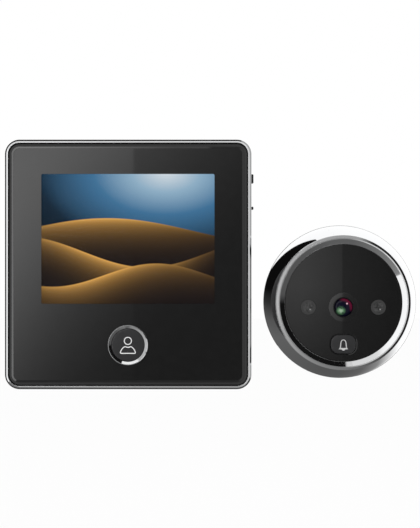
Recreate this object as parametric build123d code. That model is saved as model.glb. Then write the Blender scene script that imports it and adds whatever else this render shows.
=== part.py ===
from build123d import *
import math
import os

# Peephole door camera: an indoor monitor that hangs on a door bracket, and a round outdoor camera
# with a bell button, standing side by side. Lengths are in millimetres.
# Each piece is drawn face up: X to the right, Y up the door, Z out of the door towards the viewer.
# It is then stood upright, so that both faces look along -Y and +Z is up.
# The origin is the middle of the bracket's screw pattern, on the face of the door.

# Fits that are shared
overrun = 1.0
glue_gap = 0.05
seam_gap = 0.1
moving_gap = 0.15
sliding_gap = 0.3
least_corner = 0.4

# Monitor, outside
monitor_width = 87.1
monitor_height = 88.2
monitor_depth = 20.0
monitor_corner = 5.2
door_air = 0.5

# Chrome frame round the monitor's face
frame_band = 1.06
frame_depth = 5.7
frame_step = 0.7
frame_edge = 0.45
frame_lip_width = 1.1
frame_lip = 0.8

# Front panel and its window
panel_thickness = 1.5
panel_slope_width = 1.9
panel_slope_depth = 0.9
panel_edge = 0.5
screen_below_head = 12.24
screen_above_foot = 30.24
screen_corner = 0.5
window_thickness = 1.0

# Screen module
lcd_side_margin = 9.55
lcd_side_border = 3.52
lcd_side_to_foot = 5.7
lcd_side_to_head = 2.6
lcd_glass_thickness = 1.1
lcd_glass_inset = 0.5
lcd_tray_thickness = 2.0
lcd_corner = 1.0
ribbon_width = 18.0
ribbon_thickness = 0.2
ribbon_reach = 1.5
ribbon_on_board = 6.0

# Front and rear case
front_case_wall = 1.4
front_case_plate = 1.2
rear_case_wall = 1.5
rear_case_step = 0.35
rear_case_slope = 1.9
rear_case_edge = 1.4

# Screws that close the case
case_screw_from_side = 6.15
case_screw_from_end = 6.25
case_boss_radius = 2.8
case_pillar_radius = 2.5
case_screw_radius = 1.0
case_screw_head_radius = 1.9
case_screw_head = 1.3
case_screw_sunk = 0.5
case_screw_end_gap = 0.8
screw_clearance = 0.15
cross_width = 0.5
cross_depth = 0.6
cross_span_share = 0.7

# Main board
board_thickness = 1.0
board_side_margin = 4.35
board_head_margin = 1.7
board_corner = 1.2
board_post_radius = 1.9
board_post_inset = 2.6
board_screw_radius = 0.9
board_screw_head_radius = 1.7
board_screw_head = 0.9
board_screw_length = 2.6
processor_side = 13.0
processor_height = 1.2
memory_length = 11.0
memory_width = 8.0
memory_height = 1.0
regulator_side = 4.0
regulator_height = 0.9
chip_gap = 1.0
processor_height_share = 0.35
memory_height_share = 0.62
regulator_places_share = ((0.35, 0.7), (0.6, 0.4), (0.5, -0.6), (-0.6, -0.6))

# Camera socket and the opening that its plug goes through
socket_length = 8.0
socket_width = 3.0
socket_height = 5.4
socket_wall = 0.5
socket_hole_depth = 3.6
socket_well_margin = 0.45
socket_well_wall = 1.2
socket_well_depth = 6.0

# Cells and their bay
cell_count = 3
cell_radius = 5.25
cell_length = 44.5
cell_nub_radius = 1.9
cell_nub = 0.9
cell_edge = 0.4
cell_gap = 0.25
bay_wall = 1.2
bay_end_gap = 1.35
contact_thickness = 0.3
contact_side = 7.0
contact_leaf_width = 5.0
contact_dimple_radius = 1.6

# Battery door
battery_door_thickness = 1.2
battery_door_tongue = 0.5
battery_door_tongue_reach = 0.7
battery_grip_count = 4
battery_grip_pitch = 1.8
battery_grip_width = 0.8
battery_grip_length = 14.0
battery_grip_depth = 0.4
battery_grip_above_edge = 4.0

# View button
view_above_foot = 15.7
view_cap_radius = 5.75
view_cap_proud = 0.2
view_cap_edge = 0.35
view_flange_radius = 6.3
view_flange = 0.6
view_travel = 0.5
view_ring_radius = 7.1
view_ring_sleeve_radius = 6.7
view_ring_proud = 0.45
view_ring_crest = 0.35
view_board_width = 30.0
view_board_height = 15.0
switch_side = 6.0
switch_plunger_radius = 1.7
switch_plunger = 0.5
switch_end_gap = 0.1

# Person on the view button
icon_depth = 0.25
icon_stroke = 0.55
person_head_radius = 1.5
person_head_above = 1.5
person_shoulder_width = 5.75
person_shoulder_height = 3.05
person_base_below = 3.15
person_base_corner = 0.5

# Slider and pin on the monitor's right side
slider_below_head = 13.5
slider_length = 3.2
slider_thickness = 1.8
slider_proud = 0.9
slider_edge = 0.3
slider_travel = 2.0
slider_plate = 0.7
slider_plate_overlap = 1.6
side_switch_depth = 3.9
side_switch_length = 7.0
side_switch_height = 3.4
side_switch_gap = 0.3
pin_below_head = 24.0
pin_radius = 0.55
pin_proud = 0.9
pin_flange_radius = 1.05
pin_flange = 0.5
pin_travel = 0.35
pin_switch_length = 4.5

# Speaker
speaker_side_gap = 0.6
speaker_height = 3.3
speaker_magnet_inset = 2.7
speaker_rim = 1.2
speaker_above_bay_foot = 16.5
speaker_fence = 0.8
speaker_fence_height = 2.0
grille_slot_count = 5
grille_slot_width = 0.9
grille_reach_share = 0.58

# Door bracket
bracket_width = 44.0
bracket_below_head = 12.15
bracket_sheet = 1.0
bracket_corner = 3.0
bracket_margin = 0.6
pad_thickness = 0.8
pad_inset = 1.0
pad_hole_gap = 0.2
clamp_spacing = 8.8
clamp_hole_radius = 1.6
cable_slot_width = 3.6
cable_slot_length = 9.0
hook_stem = 5.0
hook_tip = 2.9
hook_tip_depth = 2.0
hook_from_end = 7.0
hook_slot_margin = 0.4
hook_rest_gap = 0.05
monitor_lift = 3.2
recess_gap = 0.3
recess_strip = 0.8

# Outdoor camera, outside
units_apart = 4.95
outdoor_below_centre = 13.7
outdoor_depth = 15.0
outdoor_base_radius = 28.0
outdoor_top_radius = 24.15
outdoor_shell_wall = 1.2
outdoor_shell_edge = 0.7
outdoor_shell_bulge = 0.9
gasket_thickness = 0.8
gasket_inner_radius = 22.0
gasket_inset = 0.4

# Outdoor camera, bezel and face
bezel_radius = 24.0
bezel_height = 2.35
bezel_lip_width = 0.8
bezel_lip_edge = 0.35
bezel_spigot = 1.4
bezel_ledge_width = 1.1
bezel_ledge = 0.85
face_radius = 21.0
face_thickness = 1.1
face_sunk = 1.0
face_edge = 0.2

# Lens
lens_below_face_centre = 1.6
surround_radius = 5.2
surround_proud = 0.35
surround_dish = 0.3
surround_flange = 0.6
surround_flange_reach = 0.6
barrel_radius = 3.6
barrel_proud = 0.9
barrel_length = 5.5
barrel_wall = 0.65
barrel_stop_width = 0.6
barrel_stop = 0.8
barrel_stop_below_front = 1.7
barrel_edge = 0.3
front_lens_rim = 0.5
front_lens_dome = 0.85
inner_lens_rim = 0.8
inner_lens_dome = 0.5
holder_side = 13.0
holder_base = 3.2
holder_tube_wall = 1.05
holder_height = 4.5
holder_cavity_side = 8.6
holder_cavity = 2.2
sensor_side = 7.0
sensor_height = 0.9

# Infrared lamps
infrared_from_lens = 12.5
infrared_window_radius = 2.7
infrared_lamp_radius = 2.3
infrared_lamp_rim = 0.8
infrared_lamp_rim_reach = 0.2
infrared_window_gap = 0.6

# Bell button
bell_below_face_centre = 14.8
bell_width = 8.8
bell_height = 6.5
bell_corner = 2.7
bell_proud = 0.2
bell_edge = 0.3
bell_side_gap = 0.3
bell_flange = 0.6
bell_flange_reach = 0.8
bell_travel = 0.5
bell_stem_radius = 1.4
bell_stem = 0.5
bell_icon_width = 3.65
bell_icon_height = 4.4
bell_icon_stroke = 0.42
bell_icon_brim = 0.75
bell_icon_knob_radius = 0.32
bell_icon_clapper_radius = 0.55
bell_icon_waist_share = 0.62

# Outdoor camera, inside
rear_cover_thickness = 1.6
housing_radius = 21.6
housing_wall = 1.2
housing_boss_radius = 2.4
housing_boss_circle = 19.0
housing_boss_height = 7.5
housing_boss_angles = (90, 210, 330)
housing_ledge_width = 1.8
housing_ledge = 1.2
camera_board_above_cover = 3.6
camera_board_radius = 19.9
camera_board_notch_gap = 0.2
camera_chip_side = 8.0
camera_chip_height = 1.1
camera_chip_from_middle = 9.5
cover_screw_radius = 1.0
cover_screw_head_radius = 1.8
cover_screw_head = 1.0
cover_screw_sunk = 0.2
cover_screw_length = 6.0

# Threaded barrel that goes into the door
door_barrel_radius = 7.0
door_barrel_length = 20.0
door_barrel_edge = 0.5
insert_radius = 2.0
insert_bore_radius = 1.25
insert_length = 6.0

# Heights above the door, worked out from the sizes above
bracket_front = pad_thickness + bracket_sheet
recess_floor = bracket_front + recess_gap
recess_wall_front = recess_floor + rear_case_wall
frame_front = monitor_depth - frame_step
frame_back = frame_front - frame_depth
rear_case_front = frame_back - seam_gap
panel_back = monitor_depth - panel_thickness
plate_front = panel_back - glue_gap
plate_back = plate_front - front_case_plate
lcd_front = panel_back - seam_gap
lcd_seam = lcd_front - lcd_glass_thickness
lcd_back = lcd_seam - lcd_tray_thickness
board_front = lcd_back - seam_gap
board_back = board_front - board_thickness
battery_door_front = door_air + battery_door_thickness
cell_axis = battery_door_front + cell_gap + cell_radius
bay_floor = cell_axis + cell_radius + cell_gap
bay_front = bay_floor + bay_wall
view_board_back = bay_front + seam_gap
view_board_front = view_board_back + board_thickness
view_flange_front = panel_back - moving_gap
view_flange_back = view_flange_front - view_flange
view_switch_front = view_flange_back - view_travel - switch_end_gap
side_axis = board_back - side_switch_height / 2

# Places on the monitor, measured from its centre
bay_foot = -monitor_height / 2 + rear_case_step + rear_case_slope + rear_case_wall
cell_pitch = 2 * cell_radius + cell_gap
bay_head = bay_foot + cell_gap + cell_count * cell_pitch
bay_half_width = cell_length / 2 + bay_end_gap
recess_foot = bay_head + bay_wall + recess_strip
bracket_foot = recess_foot + monitor_lift + bracket_margin
bracket_height = monitor_height / 2 - bracket_below_head - bracket_foot
bracket_centre = bracket_foot + bracket_height / 2
hook_from_middle = bracket_height / 2 - hook_from_end
case_screw_x = monitor_width / 2 - case_screw_from_side
case_screw_y = monitor_height / 2 - case_screw_from_end
board_half_width = monitor_width / 2 - board_side_margin
board_head = case_screw_y - case_boss_radius - board_head_margin
board_foot = bay_head + bay_wall
board_post_x = board_half_width - board_post_inset
lcd_width = monitor_width - 2 * lcd_side_margin
screen_width = lcd_width - 2 * lcd_side_border
screen_height = monitor_height - screen_below_head - screen_above_foot
screen_above_centre = (screen_above_foot - screen_below_head) / 2
lcd_height = screen_height + lcd_side_to_foot + lcd_side_to_head
lcd_centre = screen_above_centre - (lcd_side_to_foot - lcd_side_to_head) / 2
view_below_centre = monitor_height / 2 - view_above_foot
slider_above_centre = monitor_height / 2 - slider_below_head
pin_above_centre = monitor_height / 2 - pin_below_head
speaker_left = rear_case_step + rear_case_slope + rear_case_wall - monitor_width / 2
speaker_right = -bay_half_width - bay_wall
speaker_x = (speaker_left + speaker_right) / 2
speaker_radius = (speaker_right - speaker_left) / 2 - speaker_side_gap
speaker_magnet_radius = speaker_radius - speaker_magnet_inset
grille_slot_length = 2 * speaker_radius * grille_reach_share
grille_slot_pitch = grille_slot_length / (grille_slot_count - 1)
speaker_y = bay_foot + speaker_above_bay_foot
side_switch_right = board_half_width + seam_gap + side_switch_gap
side_switch_y = slider_above_centre - slider_travel / 2
outdoor_right_of_monitor = monitor_width / 2 + units_apart + outdoor_base_radius

# Heights on the outdoor camera
cover_back = gasket_thickness
cover_front = cover_back + rear_cover_thickness
housing_back = cover_front + glue_gap
bezel_back = outdoor_depth - bezel_height
shell_front = bezel_back - glue_gap
face_front = outdoor_depth - face_sunk
face_back = face_front - face_thickness
ledge_front = face_back - glue_gap
ledge_back = ledge_front - bezel_ledge
housing_front = ledge_back - seam_gap
camera_board_back = cover_front + camera_board_above_cover
camera_board_front = camera_board_back + board_thickness
on_camera_board = camera_board_front + glue_gap
barrel_front = face_front + barrel_proud
barrel_back = barrel_front - barrel_length
stop_front = barrel_front - barrel_stop_below_front
stop_back = stop_front - barrel_stop
lens_radius = barrel_radius - barrel_wall - glue_gap
bell_flange_front = face_back - moving_gap
bell_flange_back = bell_flange_front - bell_flange
bell_stem_back = bell_flange_back - bell_stem
bell_switch_front = bell_stem_back - bell_travel - switch_end_gap

base_align = (Align.CENTER, Align.CENTER, Align.MIN)
upright = Location(Plane(origin=(0, 0, 0), x_dir=(1, 0, 0), z_dir=(0, -1, 0)))
from_bracket = Pos(0, -bracket_centre, 0)
outdoor_place = Pos(outdoor_right_of_monitor, -bracket_centre - outdoor_below_centre, 0)
lens_spot = Pos(0, -lens_below_face_centre, 0)
bell_spot = Pos(0, -bell_below_face_centre, 0)
view_spot = Pos(0, -view_below_centre, 0)
case_corners = [(x, y) for x in (-case_screw_x, case_screw_x) for y in (-case_screw_y, case_screw_y)]


def plate(outline, low, high):
    """A flat outline raised from one height to another."""
    return extrude(Pos(0, 0, low) * outline, high - low)


def disc(radius, low, high):
    """A round plate or peg on the Z axis."""
    return Pos(0, 0, low) * Cylinder(radius, high - low, align=base_align)


def block(width, height, low, high):
    """A square-edged block on the Z axis."""
    return Pos(0, 0, low) * Box(width, height, high - low, align=base_align)


def span_block(left, right, foot, head, low, high):
    """A square-edged block between two places on each axis."""
    middle = Pos((left + right) / 2, (foot + head) / 2, 0)
    return middle * block(right - left, head - foot, low, high)


def turned(outline):
    """A profile of radius and height, turned about the Z axis."""
    return revolve(Plane.XZ * make_face(outline), Axis.Z)


def tube(outer, inner, low, high):
    """A ring with straight walls."""
    return disc(outer, low, high) - disc(inner, low - overrun, high + overrun)


def dome(radius, rim, rise, low):
    """A round lens with a straight rim and a front that is part of a sphere."""
    rim_top = low + rim
    sphere_radius = (radius ** 2 + rise ** 2) / (2 * rise)
    sphere_middle = rim_top + rise - sphere_radius
    half_turn = math.atan2(radius, rim_top - sphere_middle) / 2
    crown_middle = (sphere_radius * math.sin(half_turn), sphere_middle + sphere_radius * math.cos(half_turn))
    profile = Polyline((0, low), (radius, low), (radius, rim_top))
    profile += ThreePointArc((radius, rim_top), crown_middle, (0, rim_top + rise))
    profile += Line((0, rim_top + rise), (0, low))
    return turned(profile)


def corner_radius(inset):
    """The monitor's corner radius on an outline drawn that far inside it."""
    return max(monitor_corner - inset, least_corner)


def monitor_outline(inset):
    """The monitor's rounded square, drawn that far inside its edge."""
    return RectangleRounded(monitor_width - 2 * inset, monitor_height - 2 * inset, corner_radius(inset))


def rear_inset(height):
    """How far the sloping rear case lies inside the monitor's edge at a height."""
    return rear_case_step + rear_case_slope * (rear_case_front - height) / (rear_case_front - door_air)


def rear_case_block(inset, low, high):
    """The sloping body of the rear case, or its hollow."""
    front_outline = Pos(0, 0, high) * monitor_outline(rear_inset(high) + inset)
    back_outline = Pos(0, 0, low) * monitor_outline(rear_inset(low) + inset)
    return loft(Sketch() + [back_outline, front_outline])


def cell_rows():
    """The height of each cell on the monitor."""
    first = bay_foot + cell_gap + cell_radius
    return [first + row * cell_pitch for row in range(cell_count)]


def screw(shank_radius, shank, head_radius, head):
    """A cross-head screw: its head's seat at zero, its tip along +Z."""
    body = disc(shank_radius, 0, shank) + disc(head_radius, -head, 0)
    span = 2 * head_radius * cross_span_share
    cross = block(span, cross_width, -head - overrun, -head + cross_depth)
    return body - cross - Rot(0, 0, 90) * cross


# Monitor: face


def chrome_frame():
    band = plate(monitor_outline(0), frame_back, frame_front)
    band = fillet(band.edges().group_by(Axis.Z)[-1], min(frame_edge, frame_band / 2))
    band -= plate(monitor_outline(frame_band), frame_back + frame_lip, frame_front + overrun)
    lip_inset = frame_band + frame_lip_width
    return band - plate(monitor_outline(lip_inset), frame_back - overrun, frame_front)


def front_panel():
    inset = frame_band + glue_gap
    slope_back = monitor_depth - panel_slope_depth
    panel = plate(monitor_outline(inset), panel_back, slope_back)
    slope_angle = math.degrees(math.atan2(panel_slope_width, panel_slope_depth))
    slope = extrude(Pos(0, 0, slope_back) * monitor_outline(inset), panel_slope_depth, taper=slope_angle)
    panel += fillet(slope.edges().group_by(Axis.Z)[-1], panel_edge)
    opening = RectangleRounded(screen_width, screen_height, screen_corner)
    panel -= Pos(0, screen_above_centre, 0) * plate(opening, panel_back - overrun, monitor_depth + overrun)
    hole = disc(view_ring_sleeve_radius + glue_gap, panel_back - overrun, monitor_depth + overrun)
    return panel - view_spot * hole


def screen_window():
    width = screen_width - 2 * glue_gap
    height = screen_height - 2 * glue_gap
    outline = RectangleRounded(width, height, screen_corner)
    return Pos(0, screen_above_centre, 0) * plate(outline, monitor_depth - window_thickness, monitor_depth)


def lcd_glass():
    width = lcd_width - 2 * lcd_glass_inset
    height = lcd_height - 2 * lcd_glass_inset
    return Pos(0, lcd_centre, 0) * block(width, height, lcd_seam, lcd_front)


def lcd_backlight():
    outline = RectangleRounded(lcd_width, lcd_height, lcd_corner)
    return Pos(0, lcd_centre, 0) * plate(outline, lcd_back, lcd_seam)


def lcd_ribbon():
    """The flat cable that leaves the foot of the screen and folds back onto the main board."""
    half = ribbon_width / 2
    foot = lcd_centre - lcd_height / 2
    start = foot - ribbon_reach
    front = plate_back - seam_gap
    turn = board_foot - seam_gap
    ribbon = span_block(-half, half, start, foot, front - ribbon_thickness, front)
    ribbon += span_block(-half, half, start, start + ribbon_thickness, lcd_back, front)
    ribbon += span_block(-half, half, start, turn, lcd_back - ribbon_thickness, lcd_back)
    ribbon += span_block(-half, half, turn - ribbon_thickness, turn, board_back - ribbon_thickness, lcd_back)
    tail_head = board_foot + ribbon_on_board
    return ribbon + span_block(-half, half, turn, tail_head, board_back - ribbon_thickness, board_back)


# Monitor: case


def front_case():
    inset = frame_band + glue_gap
    outer = monitor_outline(inset)
    inner = monitor_outline(inset + front_case_wall)
    wall_back = frame_back + frame_lip + glue_gap
    case = plate(outer, wall_back, plate_front) - plate(inner, wall_back - overrun, plate_back)
    module = RectangleRounded(lcd_width + 2 * seam_gap, lcd_height + 2 * seam_gap, lcd_corner)
    case -= Pos(0, lcd_centre, 0) * plate(module, plate_back - overrun, plate_front + overrun)
    button_hole = disc(view_flange_radius + sliding_gap, plate_back - overrun, plate_front + overrun)
    case -= view_spot * button_hole
    for x, y in case_corners:
        pillar = disc(case_pillar_radius, rear_case_front + glue_gap, plate_back)
        pilot = disc(case_screw_radius + glue_gap, rear_case_front - overrun, plate_back)
        case += Pos(x, y, 0) * (pillar - pilot)
    for x, y in board_screw_spots():
        post = disc(board_post_radius, board_front + glue_gap, plate_back)
        pilot = disc(board_screw_radius + glue_gap, board_front - overrun, plate_back)
        case += Pos(x, y, 0) * (post - pilot)
    return case


def rear_case():
    case = rear_case_block(0, door_air, rear_case_front)
    outside = fillet(case.edges().group_by(Axis.Z)[0], rear_case_edge)
    hollow = rear_case_block(rear_case_wall, door_air + rear_case_wall, rear_case_front)
    rim = monitor_outline(rear_case_step + rear_case_wall)
    mouth = plate(rim, rear_case_front, rear_case_front + overrun)
    case = outside - hollow - mouth
    case += (bay_shell() + recess_shell() + speaker_fence_ring() + socket_well()) & outside
    for x, y in case_corners:
        case += Pos(x, y, 0) * disc(case_boss_radius, door_air, rear_case_front) & outside
    case += bay_shell()
    case -= bay_hollow() + battery_door_channel()
    case -= recess_hollow()
    case -= socket_well_hollow()
    case -= grille()
    case -= case_screw_holes()
    return case - side_holes()


def bay_shell():
    """The box that holds the cells, standing on the back of the case."""
    half = bay_half_width + bay_wall
    return span_block(-half, half, bay_foot - rear_case_wall, bay_head + bay_wall, door_air, bay_front)


def bay_hollow():
    return span_block(-bay_half_width, bay_half_width, bay_foot, bay_head, door_air - overrun, bay_floor)


def battery_door_channel():
    """The way that the battery door slides in, open at the foot of the case."""
    foot = -monitor_height / 2
    half = bay_half_width + moving_gap
    front = battery_door_front + moving_gap
    way = span_block(-half, half, foot, bay_head, door_air - overrun, front)
    groove_half = bay_half_width + battery_door_tongue_reach + moving_gap
    groove_back = battery_door_front - battery_door_tongue - moving_gap
    return way + span_block(-groove_half, groove_half, foot, bay_head, groove_back, front)


def recess_shell():
    half = bracket_width / 2 + bracket_margin + rear_case_wall
    head = bracket_centre + bracket_height / 2 + bracket_margin + rear_case_wall
    return span_block(-half, half, recess_foot - recess_strip, head, door_air, recess_wall_front)


def recess_hollow():
    """The shallow recess for the bracket, with a slot for each hook."""
    half = bracket_width / 2 + bracket_margin
    head = bracket_centre + bracket_height / 2 + bracket_margin
    hollow = span_block(-half, half, recess_foot, head, door_air - overrun, recess_floor)
    slot_half = bracket_sheet / 2 + hook_slot_margin
    slot_length = hook_stem + hook_tip + hook_slot_margin
    for x, stem_head in hook_spots():
        slot_head = bracket_centre + stem_head + hook_rest_gap
        slot_foot = slot_head - slot_length
        hollow += span_block(x - slot_half, x + slot_half, slot_foot, slot_head,
                             recess_floor - overrun, recess_wall_front + overrun)
    return hollow


def socket_well():
    width = socket_width + 2 * (socket_well_margin + socket_well_wall)
    length = socket_length + 2 * (socket_well_margin + socket_well_wall)
    well = block(width, length, recess_floor, recess_floor + socket_well_depth)
    return Pos(0, bracket_centre, 0) * well


def socket_well_hollow():
    width = socket_width + 2 * socket_well_margin
    length = socket_length + 2 * socket_well_margin
    well = block(width, length, recess_floor - overrun, recess_floor + socket_well_depth + overrun)
    return Pos(0, bracket_centre, 0) * well


def speaker_fence_ring():
    inner = speaker_radius + seam_gap
    ring = tube(inner + speaker_fence, inner, door_air, door_air + rear_case_wall + speaker_fence_height)
    return Pos(speaker_x, speaker_y, 0) * ring


def grille():
    """A row of sound slots behind the speaker."""
    slots = []
    for number in range(grille_slot_count):
        x = (number - (grille_slot_count - 1) / 2) * grille_slot_pitch
        outline = SlotOverall(grille_slot_length, grille_slot_width, rotation=90)
        slot = plate(outline, door_air - overrun, door_air + rear_case_wall + overrun)
        slots.append(Pos(speaker_x + x, speaker_y, 0) * slot)
    return Part() + slots


def case_screw_holes():
    head_seat = door_air + case_screw_sunk + case_screw_head
    holes = []
    for x, y in case_corners:
        shank = disc(case_screw_radius + screw_clearance, door_air - overrun, rear_case_front + overrun)
        head = disc(case_screw_head_radius + screw_clearance, door_air - overrun, head_seat)
        holes.append(Pos(x, y, 0) * (shank + head))
    return Part() + holes


def side_holes():
    """The slider's notch and the pin's hole in the right wall."""
    right = monitor_width / 2
    left = right - rear_inset(side_axis) - rear_case_wall - overrun
    low = side_axis - slider_thickness / 2 - moving_gap
    head = slider_above_centre + slider_length / 2 + moving_gap
    foot = head - slider_length - slider_travel - 2 * moving_gap
    notch = span_block(left, right, foot, head, low, rear_case_front + overrun)
    bore = Rot(0, 90, 0) * disc(pin_radius + moving_gap, left, right)
    return notch + Pos(0, pin_above_centre, side_axis) * bore


def case_screws():
    seat = door_air + case_screw_sunk + case_screw_head
    length = plate_back - case_screw_end_gap - seat
    piece = screw(case_screw_radius, length, case_screw_head_radius, case_screw_head)
    return [Pos(x, y, seat) * piece for x, y in case_corners]


# Monitor: what is inside


def board_screw_spots():
    """Two screws on the left edge of the main board, and two on the right, clear of the switches."""
    low = board_foot + board_post_inset
    left_high = board_head - board_post_inset
    right_high = pin_above_centre - pin_switch_length / 2 - board_screw_head_radius - board_corner
    return [(-board_post_x, low), (board_post_x, low), (-board_post_x, left_high), (board_post_x, right_high)]


def board_spot(place_share):
    """A place on the main board, from shares of its half width and half height."""
    across, up = place_share
    half_height = (board_head - board_foot) / 2
    return Pos(across * board_half_width, board_foot + half_height + up * half_height, 0)


def main_board():
    height = board_head - board_foot
    outline = RectangleRounded(2 * board_half_width, height, board_corner)
    board = Pos(0, board_foot + height / 2, 0) * plate(outline, board_back, board_front)
    for x, y in board_screw_spots():
        hole = disc(board_screw_radius + screw_clearance, board_back - overrun, board_front + overrun)
        board -= Pos(x, y, 0) * hole
    return board


def board_chips():
    processor = block(processor_side, processor_side, board_back - processor_height, board_back)
    memory = block(memory_length, memory_width, board_back - memory_height, board_back)
    regulator = block(regulator_side, regulator_side, board_back - regulator_height, board_back)
    memory_x = -(socket_width / 2 + chip_gap + memory_length / 2)
    processor_x = memory_x - memory_length / 2 - chip_gap - processor_side / 2
    chips = [Pos(processor_x, 0, 0) * board_spot((0, processor_height_share)) * processor,
             Pos(memory_x, 0, 0) * board_spot((0, memory_height_share)) * memory]
    return chips + [board_spot(place) * regulator for place in regulator_places_share]


def board_screws():
    piece = screw(board_screw_radius, board_screw_length, board_screw_head_radius, board_screw_head)
    return [Pos(x, y, board_back) * piece for x, y in board_screw_spots()]


def camera_socket():
    """The socket on the main board that takes the outdoor camera's plug, its mouth towards the door."""
    low = board_back - socket_height
    body = block(socket_width, socket_length, low, board_back)
    mouth = block(socket_width - 2 * socket_wall, socket_length - 2 * socket_wall,
                  low - overrun, low + socket_hole_depth)
    return Pos(0, bracket_centre, 0) * (body - mouth)


def batteries():
    body_length = cell_length - cell_nub
    body = disc(cell_radius, 0, body_length)
    body = fillet(body.edges().filter_by(GeomType.CIRCLE), cell_edge)
    cell = body + disc(cell_nub_radius, body_length - cell_edge, cell_length)
    lying = Pos(-cell_length / 2, 0, cell_axis) * Rot(0, 90, 0) * cell
    return [Pos(0, y, 0) * lying for y in cell_rows()]


def battery_contacts_positive():
    """Flat contacts with a dimple that meets the nub of each cell."""
    wall = bay_half_width - glue_gap
    leaf = block(contact_side, contact_side, 0, contact_thickness)
    dimple = disc(contact_dimple_radius, 0, bay_end_gap - 2 * glue_gap)
    turned_leaf = Pos(wall, 0, cell_axis) * Rot(0, -90, 0) * (leaf + dimple)
    return [Pos(0, y, 0) * turned_leaf for y in cell_rows()]


def battery_contacts_negative():
    """Bowed leaf contacts that press on the flat end of each cell."""
    wall = -bay_half_width + glue_gap
    reach = bay_end_gap - 2 * glue_gap - contact_thickness / 2
    half = contact_side / 2
    foot = contact_thickness / 2
    bow = Polyline((-half, foot), (0, reach), (half, foot))
    leaf = extrude(Plane.XZ * trace(bow, contact_thickness), contact_leaf_width / 2, both=True)
    back = block(contact_side, contact_side, 0, contact_thickness)
    turned_leaf = Pos(wall, 0, cell_axis) * Rot(0, 90, 0) * (leaf + back)
    return [Pos(0, y, 0) * turned_leaf for y in cell_rows()]


def speaker():
    back = door_air + rear_case_wall + glue_gap
    basket = disc(speaker_radius, back, back + speaker_rim)
    magnet = disc(speaker_magnet_radius, back, back + speaker_height)
    return Pos(speaker_x, speaker_y, 0) * (basket + magnet)


def button_board():
    outline = RectangleRounded(view_board_width, view_board_height, board_corner)
    return view_spot * plate(outline, view_board_back, view_board_front)


def view_switch():
    plunger_back = view_switch_front - switch_plunger
    body = block(switch_side, switch_side, view_board_front, plunger_back)
    return view_spot * (body + disc(switch_plunger_radius, plunger_back, view_switch_front))


def power_switch_body():
    left = side_switch_right - side_switch_depth
    foot = side_switch_y - side_switch_length / 2
    head = side_switch_y + side_switch_length / 2
    return span_block(left, side_switch_right, foot, head, board_back - side_switch_height, board_back)


def reset_switch_body():
    left = side_switch_right - side_switch_depth
    foot = pin_above_centre - pin_switch_length / 2
    head = pin_above_centre + pin_switch_length / 2
    return span_block(left, side_switch_right, foot, head, board_back - side_switch_height, board_back)


# Monitor: what moves


def battery_door():
    """The door slides down out of the case, its side tongues in the case's grooves."""
    foot = -monitor_height / 2 + rear_inset(door_air)
    head = bay_head - moving_gap
    half = bay_half_width
    door = span_block(-half, half, foot, head, door_air, battery_door_front)
    tongue_half = half + battery_door_tongue_reach
    tongue_back = battery_door_front - battery_door_tongue
    door += span_block(-tongue_half, tongue_half, foot, head, tongue_back, battery_door_front)
    for number in range(battery_grip_count):
        y = foot + battery_grip_above_edge + number * battery_grip_pitch
        groove = span_block(-battery_grip_length / 2, battery_grip_length / 2, y, y + battery_grip_width,
                            door_air - overrun, door_air + battery_grip_depth)
        door -= groove
    return door


def view_button_ring():
    """A chrome ring: a sleeve through the panel and a crested rim on its face."""
    bore = view_cap_radius + moving_gap
    front = monitor_depth + glue_gap
    crest = front + view_ring_proud
    crest_radius = (bore + view_ring_radius + view_ring_crest) / 2
    eighth = math.sin(math.pi / 4)
    shoulder = (crest_radius + (view_ring_radius - crest_radius) * eighth, front + view_ring_proud * eighth)
    profile = Polyline((bore, panel_back), (view_ring_sleeve_radius, panel_back),
                       (view_ring_sleeve_radius, front), (view_ring_radius, front))
    profile += ThreePointArc((view_ring_radius, front), shoulder, (crest_radius, crest))
    profile += Line((crest_radius, crest), (bore, front))
    profile += Line((bore, front), (bore, panel_back))
    return view_spot * turned(profile)


def view_button():
    front = monitor_depth + view_cap_proud
    cap = disc(view_cap_radius, view_flange_front, front)
    cap = fillet(cap.edges().group_by(Axis.Z)[-1], view_cap_edge)
    cap += disc(view_flange_radius, view_flange_back, view_flange_front)
    return view_spot * cap - view_button_icon()


def person_outline():
    """The outline of a head above the outline of two shoulders."""
    ring = Circle(person_head_radius) - Circle(person_head_radius - icon_stroke)
    half_width = person_shoulder_width / 2
    shoulders = half_arch(half_width, person_shoulder_height)
    inside = half_arch(half_width - icon_stroke, person_shoulder_height - 2 * icon_stroke)
    body = shoulders - Pos(0, icon_stroke) * inside
    return [Pos(0, person_head_above) * ring, Pos(0, -person_base_below) * body]


def half_arch(half_width, height):
    """The upper half of an oval, standing on its flat base."""
    oval = Ellipse(half_width, height)
    arch = oval - Pos(0, -height) * Rectangle(2 * half_width, 2 * height)
    return fillet(arch.vertices(), min(person_base_corner, height / 4))


def view_button_icon():
    front = monitor_depth + view_cap_proud
    return [view_spot * plate(shape, front - icon_depth, front) for shape in person_outline()]


def power_slider():
    """The knob comes through the side wall; a plate inside keeps it in."""
    outside = monitor_width / 2 + slider_proud
    inside = side_switch_right + side_switch_gap
    low = side_axis - slider_thickness / 2
    high = side_axis + slider_thickness / 2
    foot = slider_above_centre - slider_length / 2
    head = slider_above_centre + slider_length / 2
    knob = span_block(inside, outside, foot, head, low, high)
    knob = fillet(knob.edges().group_by(Axis.X)[-1], slider_edge)
    plate_high = rear_case_front - seam_gap
    cover = span_block(inside, inside + slider_plate, foot - slider_plate_overlap,
                       head + slider_plate_overlap, low - seam_gap, plate_high)
    return knob + cover


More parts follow.
